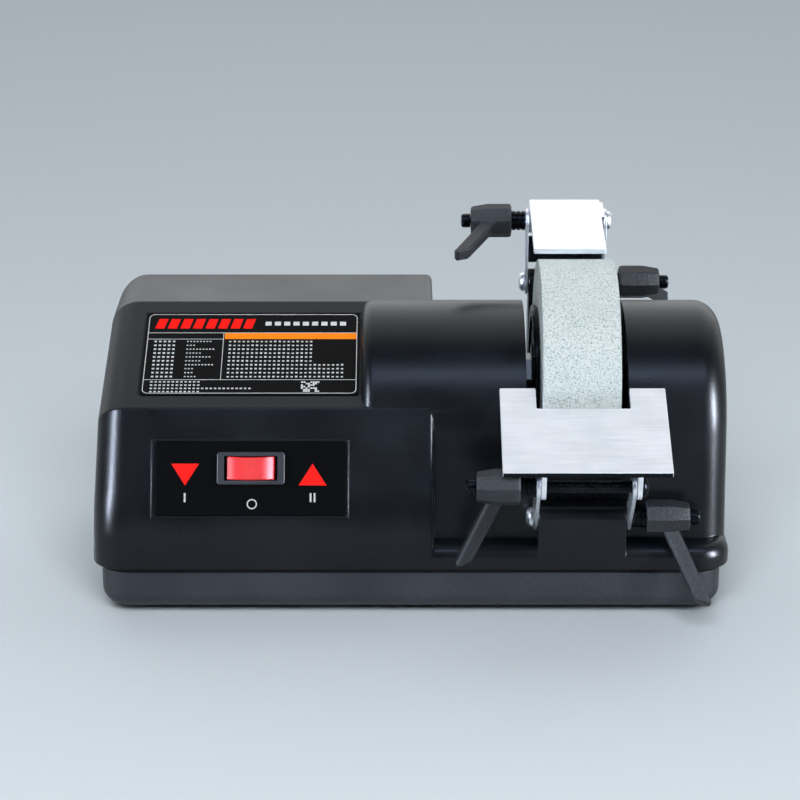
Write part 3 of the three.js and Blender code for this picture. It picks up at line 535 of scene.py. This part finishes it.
# %% Hollow it and cut the openings
SLOT = (58.8, 110.7)
GLAND = middle("cord_gland")
shell = joined(housing_form(0), pad_form(), boss(FRONT_LOW, 6.5, FRONT_BOSS, -HALF_DEPTH, -62),
               boss(REAR_LOW, 7.5, REAR_BOSS, 62.5, 81.5))
shell = cut(shell, housing_form(WALL))
walls = joined(block((SLOT[0] - 2.5, SLOT[0]), (-70, 70), (61, 145)),
               block((SLOT[1], SLOT[1] + 2.5), (-70, 70), (61, 145)))
shell = joined(shell, solved(cut(walls, rod(12, "X", 40, 130, 0, SHAFT.z)), barrel(WALL / 2), "INTERSECT"))
shell = cut(
    shell,
    block((-200, 200), (-120, 120), (BELOW - 2, SEAM_Z)),
    pushed(outline([(SLOT[0], -61, 1.5), (SLOT[1], -61, 1.5), (SLOT[1], 61, 1.5), (SLOT[0], 61, 1.5)], 4),
           "Z", 51, 150),
    placed(block((-57, 57), (-32.55, 32.55), (-0.55, 5)), label_frame),
    placed(block((-48.0, 48.9), (-19.15, 19.15), (-0.6, 5)), panel_frame),
    placed(block((-SWITCH_HALF_X, SWITCH_HALF_X), (-SWITCH_HALF_Y, SWITCH_HALF_Y), (-20, 5)), switch_frame),
    rod(M6_HOLE, "X", 50, 125, FRONT_LOW.y, FRONT_LOW.z),
    rod(M6_HOLE, "X", 50, 125, REAR_LOW.y, REAR_LOW.z),
    rod(8.3, "Y", 60, 95, GLAND.x, GLAND.z))
piece("housing_shell", shell, "housing", housing_abs, ["upper_housing"])

# %% [markdown]
# ## The base tray
# The tray is a dish of the same plastic, smaller than the housing, and its colour is a touch lighter: that
# is a painted reflection of the pale floor. Its foot is rounded all round, and a lip stands up inside the
# housing to locate it. The outer wall stops short of the housing, and a thin dark seal stands in the gap, so
# the seam reads as a dark line; the seal's near black tone is partly its own and partly painted shade for
# the gap. A dish could be made by thickening an open sheet, but two solids, one inside the other, give the
# lip as well.

# %% The tray, its lip, its screw wells and the seal
TRAY_LOW, TRAY_HIGH = span("base_tray")
TRAY_TOP, SEAL_Z, LIP_INSET = 26.0, 23.6, 0.8
PLACES = ("front_left", "front_right", "rear_left", "rear_right")


def tray_plan(inset):
    return plan(TRAY_HIGH.x, TRAY_HIGH.y, 14, inset)


def dish(inset, top):
    form = pushed(tray_plan(inset), "Z", TRAY_LOW.z + inset, top)
    return rounded(form, 9 - inset, 8, level("Z", TRAY_LOW.z + inset))


tray = cut(rounded(dish(0, SEAL_Z), 0.4, 2, level("Z", SEAL_Z)), dish(WALL, 60))
lip = cut(pushed(tray_plan(LIP_INSET), "Z", 22, TRAY_HIGH.z), dish(WALL, 60))
tray = joined(tray, lip)
for place in PLACES:
    screw, foot = middle(f"housing_screw_{place}"), middle(f"foot_{place}")
    tray = joined(tray, rod(5.5, "Z", 5, TRAY_TOP, screw.x, screw.y))
    tray = cut(tray, rod(4.4, "Z", 0, 12, screw.x, screw.y), rod(2.3, "Z", 0, 40, screw.x, screw.y),
               rod(2.8, "Z", 0, 8, foot.x, foot.y))
piece("tray_shell", tray, "housing", tray_abs, ["base_tray"])
# a dark seal whose near black tone is partly painted shade for the gap under the housing
seal = cut(pushed(tray_plan(0.5), "Z", SEAL_Z - 0.2, TRAY_TOP),
           pushed(tray_plan(LIP_INSET), "Z", 20, 30))
piece("seam_seal_and_shade", rounded(seal, 0.1, 1, angle=60), "housing", seam_rubber_and_shade)

# %% [markdown]
# ## Feet
# Each foot is a rubber disc with a rounded rim, a shallow hollow under its middle, and a stem pushed into
# the tray. It is a turned shape, so a line of a few points is spun.

# %% Four feet
for place in PLACES:
    foot, (low, high) = middle(f"foot_{place}"), span(f"foot_{place}")
    line = [(0, 0.5), (3, 0.5), (3.6, 0), (8.2, 0), (8.8, 0.4), (9, 1.1), (8.9, 1.8), (8.4, 2.2), (2.5, 2.2),
            (2.5, high.z - 0.6), (1.9, high.z), (0, high.z)]
    piece(f"rubber_{place}", moved(turned(line), foot.x, foot.y, 0), "housing", foot_rubber,
          [f"foot_{place}"])

# %% [markdown]
# ## The rating plate
# A thin film in a shallow seat. A plain grid of marks stands for the printed data: a white border, two
# rules, a divider, an orange heading bar and rows of short dashes of uneven length. The marks are separate
# boxes, a few faces each, that stand 0.06 mm proud of the film, all in one piece for each ink.

# %% The film and a helper for ink
def ink(name, shapes, frame_matrix, material, replaces=()):
    """Joins many thin flat shapes into one piece of ink."""
    bm = bmesh.new()
    for shape in shapes:
        mesh = bpy.data.meshes.new("ink")
        shape.to_mesh(mesh)
        shape.free()
        bm.from_mesh(mesh)
        bpy.data.meshes.remove(mesh)
    return piece(name, placed(bm, frame_matrix), "housing", material, replaces)


INK = (0.2, 0.31)  # the film's top is at 0.25
PANEL_INK = (0.25, 0.36)  # and the switch plate's at 0.3


def bar(x, y, top=INK[1]):
    return block(x, y, (INK[0], top))


film = pushed(outline([(-56.35, -32.25, 3), (56.35, -32.25, 3), (56.35, 32.25, 3), (-56.35, 32.25, 3)]),
              "Z", -0.25, 0.25)
piece("rating_film", placed(film, label_frame), "housing", black_film, ["rating_plate"])

# %% Border, rules and rows
EDGE_X, EDGE_Y, EDGE_LINE = 54.9, 31.0, 0.36
corners = [(-EDGE_X, -EDGE_Y, 3), (EDGE_X, -EDGE_Y, 3), (EDGE_X, EDGE_Y, 3), (-EDGE_X, EDGE_Y, 3)]
border = cut(pushed(outline(corners, 5), "Z", *INK), pushed(outline(corners, 5, EDGE_LINE), "Z", -1, 1))
white = [border, bar((-EDGE_X, EDGE_X), (16.0, 16.35)), bar((-EDGE_X, EDGE_X), (-20.7, -20.4)),
         bar((-15.2, -14.9), (-20.5, 16.1)), bar((-EDGE_X, -15.0), (11.0, 11.3))]
random.seed(7)
for row in range(10):
    y = 8.7 - row * 3.05
    for column in range(5):
        white.append(bar((-51 + column * 2.4, -49.7 + column * 2.4), (y, y + 1.15)))
    for column in range(random.randint(3, 10)):
        white.append(bar((-34 + column * 1.7, -33.1 + column * 1.7), (y + 0.2, y + 0.95)))
    for column in range(26 if row > 5 else 19):
        white.append(bar((-12 + column * 2.35, -10.8 + column * 2.35), (y, y + random.choice((0.9, 1.15)))))
for row in range(4):
    y = -22.7 - row * 2.5
    for column in range(12 + 12 * (row == 2)):
        white.append(bar((-51 + column * 2.2, -49.8 + column * 2.2), (y, y + 0.95)))
for column in range(9):
    white.append(bar((6.5 + column * 4.9, 9.7 + column * 4.9), (22.0, 25.0)))
for row in range(7):
    for column in range(8):
        if random.random() < 0.6:
            x, y = 26.5 + column * 1.2, -29.8 + row * 1.15
            white.append(bar((x, x + 1.0), (y, y + 1.0)))
ink("rating_marks", white, label_frame, white_ink)
ink("rating_bar", [bar((-14.4, EDGE_X - EDGE_LINE), (11.2, 15.9))], label_frame, orange_ink)
slant = []
for i in range(8):
    x = -51.4 + i * 6.6
    stripe = outline([(x, 19.6), (x + 4.8, 19.6), (x + 6.6, 27.2), (x + 1.8, 27.2)])
    slant.append(pushed(stripe, "Z", *INK))
ink("rating_stripe", slant, label_frame, red_ink)

# %% [markdown]
# ## The switch plate
# The lower film has broken edges, a red arrow for each turning direction and three plain marks: one
# stroke, a ring for off, and two strokes. The hole for the switch body goes right through.

# %% Film, arrows and marks
PANEL_LEFT, PANEL_RIGHT, PANEL_Y = -47.7, 48.6, 18.85
corners = [(PANEL_LEFT, -PANEL_Y, 1), (PANEL_RIGHT, -PANEL_Y, 1), (PANEL_RIGHT, PANEL_Y, 1),
           (PANEL_LEFT, PANEL_Y, 1)]
plate = cut(rounded(pushed(outline(corners, 4), "Z", -0.3, 0.3), 0.2, 2, level("Z", 0.3)),
            block((SWITCH_X - SWITCH_HALF_X, SWITCH_X + SWITCH_HALF_X),
                  (SWITCH_Y - SWITCH_HALF_Y, SWITCH_Y + SWITCH_HALF_Y), (-5, 5)))
piece("switch_film", placed(plate, panel_frame), "housing", black_film, ["switch_plate"])
down = outline([(-39.8, 7.6), (-32.7, -3.5), (-25.6, 7.6)])
up = outline([(24.7, -3.5), (38.9, -3.5), (31.8, 7.6)])
ink("switch_arrows", [pushed(down, "Z", *PANEL_INK), pushed(up, "Z", *PANEL_INK)], panel_frame, red_ink)
off_mark = cut(rod(2.6, "Z", *PANEL_INK, 1.2, -13), rod(2.0, "Z", 0, 1, 1.2, -13))
stroke_y, stroke_top = (-12.0, -7.4), PANEL_INK[1]
marks = [bar((-33.2, -32.3), stroke_y, stroke_top), off_mark, bar((30.4, 31.3), stroke_y, stroke_top),
         bar((32.4, 33.3), stroke_y, stroke_top)]
ink("switch_marks", marks, panel_frame, white_ink)

# %% [markdown]
# ## The switch
# A rocker switch snaps in from the front: a frame with a rounded rim, and a red key that tilts inside
# it. The key's top is hollowed so that a finger finds either end. The key is an outline across the
# switch pushed through its width, because its section is the same all the way.

# %% Frame and rocker
rim = pushed(outline([(-17.25, -8.4, 1.6), (17.25, -8.4, 1.6), (17.25, 8.4, 1.6), (-17.25, 8.4, 1.6)], 5),
             "Z", 0.3, 2.1)
rim = rounded(rim, 0.7, 3, level("Z", 2.1))
case = joined(rim, block((-14.1, 14.1), (-6.8, 6.8), (-16, 1)))
case = cut(case, rounded(block((-13.5, 13.5), (-6.3, 6.3), (-12, 5)), 0.5, 2))
piece("switch_case", placed(case, switch_frame), "housing", switch_nylon, ["switch_frame"])

bm = bmesh.new()
top = arc(bm, (0, 27.6), 24.4, 298.4, -56.8, 16)
sides = [(-12.3, 3.6), (-11.7, -4.5), (-8.5, -6.4), (8.5, -6.4), (11.7, -4.5), (12.3, 3.6)]
bm.faces.new([*top, *[bm.verts.new((x, z, 0)) for x, z in sides]])
key = rounded(pushed(bm, "Y", -5.95, 5.95), 0.55, 3, angle=30)
piece("rocker_cap", placed(key, switch_frame @ Matrix.Translation((0, 0, -3))), "rocker_key", rocker_red,
      ["rocker"])

# %% [markdown]
# ## The stone and its clamping
# The stone is turned true, with a small chamfer on each rim. Two steel flanges with raised rims press on
# its sides, and a nut on the shaft holds them. They are turned shapes about the shaft.

# %% Stone and flanges
low, high = span("grinding_wheel")
line = [(10, low.x), (58.9, low.x), (59.6, low.x + 0.25), (60, low.x + 0.9), (60, high.x - 0.9),
        (59.6, high.x - 0.25), (58.9, high.x), (10, high.x)]
piece("stone", moved(turned(line, "X", 160, closed=True), 0, 0, SHAFT.z), "wheel_set", stone_grit,
      ["grinding_wheel"])


def flange_line(face, out, hub):
    """A dished disc: a rim that bears on the stone, a hollow web and a hub inside the bore."""
    return [(SHAFT_HOLE, hub), (9.7, hub), (9.7, face), (35.2, face), (36, face + 0.7 * out),
            (36, face + 2.1 * out), (35.3, face + 2.8 * out), (30.5, face + 2.8 * out),
            (28.8, face + 1.6 * out), (16.5, face + 1.6 * out), (15, face + 2.8 * out),
            (SHAFT_HOLE, face + 2.8 * out)]


middle_x = (low.x + high.x) / 2
for name, node, face, out, hub in (("flange_left", "outer_flange", low.x - 0.3, -1, middle_x - 0.15),
                                   ("flange_right", "inner_flange", high.x + 0.3, 1, middle_x + 0.15)):
    disc = turned(flange_line(face, out, hub), "X", 96, closed=True)
    piece(name, moved(disc, 0, 0, SHAFT.z), "wheel_set", black_oxide, [node])

# %% [markdown]
# The nut starts as a six sided cone primitive with no taper. Its corners are chamfered as on a real nut,
# by keeping only what lies inside a turned double cone.

# %% The nut
low, high = span("wheel_nut")
nut = bmesh.new()
bmesh.ops.create_cone(nut, cap_ends=True, segments=6, radius1=10.7, radius2=10.7, depth=high.x - low.x)
placed(nut, Matrix.Translation(((low.x + high.x) / 2, 0, 0)) @ AXES["X"]
       @ Matrix.Rotation(math.radians(90), 4, "Z"))
line = [(0, low.x), (9.4, low.x), (10.9, low.x + 0.9), (10.9, high.x - 0.3), (10.4, high.x), (0, high.x)]
nut = solved(nut, turned(line, "X", 48), "INTERSECT")
nut = cut(nut, rod(SHAFT_HOLE, "X", low.x - 2, high.x + 2, 0, 0))
piece("nut", moved(nut, 0, 0, SHAFT.z), "wheel_set", zinc_plate, ["wheel_nut"])

# %% [markdown]
# ## Links
# Each pair of links is one steel strap bent into a channel: two round ended cheeks joined by a web. The
# cheeks are outlines of two half circles, pushed through the plate's thickness, with their edges broken.
# The web is given dark black oxide though it is part of the plated strap: painted shade, as it lies in
# shadow under the rest. So it is a piece of its own, with a strip of plated fold beside it.

# %% Bent channels
def cheek(low, high, radius, ends):
    bm = bmesh.new()
    lean = math.degrees(math.atan2(high.z - low.z, high.y - low.y))
    far = arc(bm, (high.y, high.z), radius, lean - 90, 180, 14)
    near = arc(bm, (low.y, low.z), radius, lean + 90, 180, 14)
    bm.faces.new([*far, *near])
    plate = rounded(pushed(bm, "X", *ends), 0.35, 2, angle=45)
    return cut(plate, rod(M6_HOLE, "X", ends[0] - 5, ends[1] + 5, low.y, low.z),
               rod(M6_HOLE, "X", ends[0] - 5, ends[1] + 5, high.y, high.z))


def channel(name, low, high, body, radius=6.5):
    cheeks = []
    for side in ("left", "right"):
        near, far = span(f"{name}_link_{side}")
        cheeks.append((near.x, far.x))
    inner = (cheeks[0][0] + 0.4, cheeks[1][1] - 0.4)
    thick = cheeks[0][1] - cheeks[0][0]
    along = Vector((0, high.y - low.y, high.z - low.z)).normalized()
    across = Vector((0, along.z, -along.y))
    start, end = low + along * 10 + across * 4, low + along * 25 + across * 4
    corners = [start, end, end + across * thick, start + across * thick]
    web = pushed(outline([(p.y, p.z, 0.35) for p in corners], 3), "X", *inner)
    lip = end + along * 0.7
    fold = [end, lip, lip + across * thick, end + across * thick]
    fold = pushed(outline([(p.y, p.z) for p in fold]), "X", *inner)
    bent = joined(cheek(low, high, radius, cheeks[0]), cheek(low, high, radius, cheeks[1]), fold)
    piece(f"{name}_channel", bent, body, zinc_plate, [f"{name}_link_left", f"{name}_link_right"])
    # the web's black oxide is painted shade: it lies in shadow under the rest
    piece(f"{name}_web", web, body, black_oxide, [f"{name}_link_web"])


channel("front", FRONT_LOW, FRONT_HIGH, "front_arm")
channel("rear", REAR_LOW, REAR_HIGH, "rear_arm")

# %% [markdown]
# ## Tool rests
# A rest is a flat steel plate with broken edges and two ears under it that hang on the upper bolt. The
# front one is notched so that the stone passes through it. The plate's edges are bevelled before the ears
# are joined to it, while they are still simple.

# %% A rest and its ears
REST_STEEL_MM = 3


def rest(name, node, pivot, body, slope, width, depth, rise, lead, centre_x, ears, forward, notch):
    front = -lead if forward else lead - depth
    back, half = front + depth, width / 2
    corners = [(-half, front, 0.6), (half, front, 0.6), (half, back, 0.6)]
    if notch:
        corners += [(notch[0] / 2, back, 0.6), (notch[0] / 2, back - notch[1], 0.8),
                    (-notch[0] / 2, back - notch[1], 0.8), (-notch[0] / 2, back, 0.6)]
    plate = pushed(outline(corners + [(-half, back, 0.6)], 3), "Z", rise - REST_STEEL_MM, rise)
    upper, lower = level("Z", rise), level("Z", rise - REST_STEEL_MM)
    plate = moved(rounded(plate, 0.3, 2, lambda edge: upper(edge) or lower(edge)), centre_x, 0, 0)
    for ends in ears:
        bm = bmesh.new()
        near, far = (-lead + 0.4, 16) if forward else (-16, lead - 0.4)
        bottom = arc(bm, (0, 0), 6.5, 180 if forward else 198, 162, 14)
        root = rise - REST_STEEL_MM / 2
        bm.faces.new([*bottom, bm.verts.new((far, root, 0)), bm.verts.new((near, root, 0))])
        ear = rounded(pushed(bm, "X", *ends), 0.3, 2, angle=45)
        plate = joined(plate, cut(ear, rod(M6_HOLE, "X", ends[0] - 5, ends[1] + 5, 0, 0)))
    return piece(name, placed(plate, on_slope((0, pivot.y, pivot.z), slope)), body, rest_steel, [node])


FRONT_SLOPE, FRONT_X = 24.5, 86.9
rest("front_table_plate", "front_rest", FRONT_HIGH, "front_table", FRONT_SLOPE, 84, 60, 14, 4.2, FRONT_X,
     [(64.2, 66.7), (111.7, 114.2)], True, (47.5, 14.7))
rest("rear_table_plate", "rear_rest", REAR_HIGH, "rear_table", 10, 38, 60, 11.4, 2.8, 83.7,
     [(64.7, 66.7), (102.7, 104.7)], False, None)

# %% [markdown]
# The front rest's near edge is drawn dark: painted shade, for the edge that lies in shadow. The plate has
# one finish all over, so a thin dark skin is laid on that edge.

# %% The dark near edge
edge = block((FRONT_X - 41.7, FRONT_X + 41.7), (-4.32, -4.1), (11.15, 13.85))
piece("front_table_shade_strip", placed(edge, on_slope((0, FRONT_HIGH.y, FRONT_HIGH.z), FRONT_SLOPE)),
      "front_table", black_oxide)

# %% [markdown]
# ## Clamping levers
# Four M6 levers lock the links and rests. A nylon handle with an eight sided hub slips over a steel
# collar, and a slotted cap screw holds it. The hub is a line turned in only eight steps, which gives its
# flats; the arm is a tapered bar with broad flat chamfers and a pointed end.

# %% One lever, standing on x = 0
def handle():
    hub = turned([(0, 7.5), (8.4, 7.5), (9.2, 8.5), (9.2, 20.5), (7.8, 28.7), (7, 29.5), (0, 29.5)], "X", 8)
    placed(hub, Matrix.Rotation(math.radians(22.5), 4, "X"))
    rounded(hub, 0.45, 2, angle=20)
    side = outline([(14.4, -4), (31.4, -43.4), (37.6, -46), (39.6, -45.2), (22.6, -4)])
    arm = rounded(pushed(side, "Y", -3.3, 3.3), 1.1, 1)
    return cut(joined(hub, arm), rod(M6_HOLE, "X", -1, 26.3, 0, 0), rod(2.2, "X", 20, 40, 0, 0))


def collar():
    line = [(M6_HOLE, 0), (5.0, 0), (5.3, 0.3), (5.3, 1.7), (4.8, 2.0), (4.8, 2.5), (5.3, 2.8), (5.3, 4.2),
            (4.8, 4.5), (4.8, 5.0), (5.3, 5.3), (5.3, 6.9), (5.0, 7.2), (M6_HOLE, 7.2)]
    return turned(line, "X", 40, closed=True)


def cap_screw():
    line = [(0, 26.6), (1.9, 26.6), (1.9, 29.8), (3.5, 29.8), (3.8, 30.1), (3.8, 33.4), (3.4, 34.4),
            (2.6, 34.8), (0, 34.8)]
    return cut(turned(line, "X", 32), block((33.2, 36), (-0.6, 0.6), (-5, 5)))


# %% Place the four levers
LEVERS = [
    ("front_low", FRONT_LOW, 1, 35, "front_low_clamp", "front_low_clamp"),
    ("front_high", FRONT_HIGH, -1, -10, "front_high_clamp", "front_high_stud"),
    ("rear_low", REAR_LOW, 1, -62, "rear_low_clamp", "rear_low_clamp"),
    ("rear_high", REAR_HIGH, -1, 82, "rear_high_clamp", "rear_high_clamp"),
]
for name, pivot, side, swing, body, stud_body in LEVERS:
    low, high = span(f"{name}_lever_collar")
    face = low.x if side > 0 else high.x
    where = (Matrix.Translation((face, pivot.y, pivot.z)) @ Matrix.Rotation(math.radians(-swing), 4, "X")
             @ Matrix.Rotation(0 if side > 0 else math.pi, 4, "Z"))
    piece(f"{name}_handle", placed(handle(), where), body, lever_nylon, [f"{name}_lever_handle"],
          smooth=12)
    piece(f"{name}_collar", placed(collar(), where), stud_body, black_oxide, [f"{name}_lever_collar"])
    piece(f"{name}_cap", placed(cap_screw(), where), stud_body, black_oxide, [f"{name}_lever_screw"])

# %% [markdown]
# ## Bolts
# Each bolt has a domed button head with a hexagon socket, and its shank runs through the links into the
# lever. The dome is part of the turned line; the socket is a six sided cut.

# %% Button head bolts
HEAD_MM = 3


def button_bolt(length):
    """The head's seat is at 0 and the shank runs along +X."""
    line = [(0, -HEAD_MM), (2.6, -HEAD_MM), (3.9, -2.6), (4.9, -1.6), (5.25, -0.5), (5.15, 0), (3, 0),
            (3, length - 0.6), (2.5, length), (0, length)]
    bolt = turned(line, "X", 40)
    socket = bmesh.new()
    bmesh.ops.create_cone(socket, cap_ends=True, segments=6, radius1=2.3, radius2=2.3, depth=4)
    return cut(bolt, moved(placed(socket, AXES["X"].copy()), -3.2, 0, 0))


for name, body, side in (("front_low", "housing", 1), ("front_high", "front_table", -1),
                         ("rear_low", "housing", 1), ("rear_high", "rear_table", -1)):
    low, high = span(f"{name}_bolt")
    spot = middle(f"{name}_bolt")
    seat = low.x + HEAD_MM if side > 0 else high.x - HEAD_MM
    facing = Matrix.Rotation(0 if side > 0 else math.pi, 4, "Z")
    bolt = placed(button_bolt(high.x - low.x - HEAD_MM), Matrix.Translation((seat, spot.y, spot.z)) @ facing)
    # the front high bolt is black oxide, unlike the zinc ones, as painted shade: it lies in shadow between
    # the rest's ears
    piece(f"{name}_button_bolt", bolt, body, black_oxide if name == "front_high" else zinc_plate,
          [f"{name}_bolt"])

# %% [markdown]
# ## The cable gland
# A soft bush in the back wall, with a rounded flange, where the mains cable would enter.

# %% Gland
low, high = span("cord_gland")
line = [(4.2, low.y), (8, low.y), (8, high.y - 3), (11, high.y - 3), (11, high.y - 1.2),
        (10.2, high.y - 0.3), (7.6, high.y), (5.4, high.y), (4.2, high.y - 0.8)]
piece("cable_bush", moved(turned(line, "Y", 48, closed=True), GLAND.x, 0, GLAND.z), "housing", gland_pvc,
      ["cord_gland"])

# %% [markdown]
# ## The drive inside
# The motor, gears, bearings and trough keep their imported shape, which is already right, and get real
# finishes. They show only through the slot or with the tray off.

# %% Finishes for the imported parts
INSIDE = {
    cast_grey: ["motor_can", "motor_end_bell", "gearhead_case", "bearing_stand_left", "bearing_stand_right"],
    bright_steel: ["wheel_shaft", "drive_pinion", "bearing_left", "bearing_right"],
    zinc_plate: ["motor_bracket", *[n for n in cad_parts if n.startswith("housing_screw")]],
    trough_pp: ["water_trough", "driven_gear"],
    foot_rubber: ["shaft_seal_left", "shaft_seal_right"],
}
for material, names in INSIDE.items():
    for name in names:
        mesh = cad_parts[name].data
        mesh.materials.clear()
        mesh.materials.append(material)
print("packed parts shown:", sum(len(names) for names in INSIDE.values()))

# %% [markdown]
# ## Studio
# A pale matt floor, a bright room behind and a dim one in front. Dark plastic shows mostly what it mirrors,
# so three lamps give only a mirrored patch, for the soft lines on the roundings, and one gives only plain
# light. Streaks and brightness are then set apart. A single bare lamp would leave hard spots on the grain.

# %% Floor and room
floor = bmesh.new()
bmesh.ops.create_grid(floor, x_segments=1, y_segments=1, size=6)
floor_mesh = bpy.data.meshes.new("floor")
floor.to_mesh(floor_mesh)
floor.free()
floor_paint, _ = finish("pale_floor", 0.9, Base_Color=colour("#c6ced3"), Specular_IOR_Level=0.0)
floor_mesh.materials.append(floor_paint)
floor_object = bpy.data.objects.new("floor", floor_mesh)
floor_object.location.z = -0.0005
bpy.context.scene.collection.objects.link(floor_object)

room = bpy.data.worlds.new("room")
bpy.context.scene.world = room
bpy.context.scene.view_settings.view_transform = "Standard"
room.use_nodes = True
direction = add(room, "ShaderNodeTexCoord").outputs["Generated"]
depth = add(room, "ShaderNodeSeparateXYZ", {"Vector": direction}).outputs["Y"]
glow = add(room, "ShaderNodeMapRange", {"Value": depth, "From Min": -0.1, "From Max": 0.9,
                                        "To Min": 0.08, "To Max": 1.12}).outputs["Result"]
background = room.node_tree.nodes["Background"]
background.inputs["Color"].default_value = colour("#f4f7fa")
plug(room, glow, background, "Strength")

# %% Lamps
def lamp(name, place, target, size, power, tint="#ffffff", gives="both"):
    """An area lamp that gives plain light, a mirrored patch in glossy surfaces, or both."""
    data = bpy.data.lights.new(name, "AREA")
    data.shape, data.size, data.size_y, data.energy = "RECTANGLE", *size, power
    data.color = colour(tint)[:3]
    obj = bpy.data.objects.new(name, data)
    obj.location = place
    obj.rotation_euler = (Vector(target) - Vector(place)).to_track_quat("-Z", "Y").to_euler()
    obj.visible_glossy, obj.visible_diffuse = gives != "light", gives != "patch"
    bpy.context.scene.collection.objects.link(obj)


lamp("overhead", (0, 1.3, 1.5), (0, 0, 0.05), (2.8, 2.4), 10)
lamp("front_box", (0.1, -0.74, 1.27), (0, 0, 0.08), (1.0, 0.17), 4.5, "#c4d9ff", "patch")
lamp("left_strip", (-1.1, -0.75, 0.45), (0, 0, 0.06), (0.12, 0.7), 42, "#dce8ff", "patch")
lamp("right_strip", (1.1, -0.7, 0.4), (0, 0, 0.06), (0.08, 0.6), 60, "#e4edff", "patch")
lamp("fill", (0, -1.45, 1.45), (0, 0, 0.05), (1.6, 1.0), 44, "#f9fbff", "light")

# %% [markdown]
# ## Camera
# A long lens looks down 20 degrees from straight in front. A wide lens close by would splay the rests.

# %% Camera
camera_data = bpy.data.cameras.new("camera")
camera_data.lens, camera_data.sensor_width = 115.65, 36
camera = bpy.data.objects.new("camera", camera_data)
camera.location = (-0.0056, -1.2812 + SHAFT_Y / 1000, 0.555)
camera.rotation_euler = (math.radians(70), 0, 0)
bpy.context.scene.collection.objects.link(camera)
bpy.context.scene.camera = camera
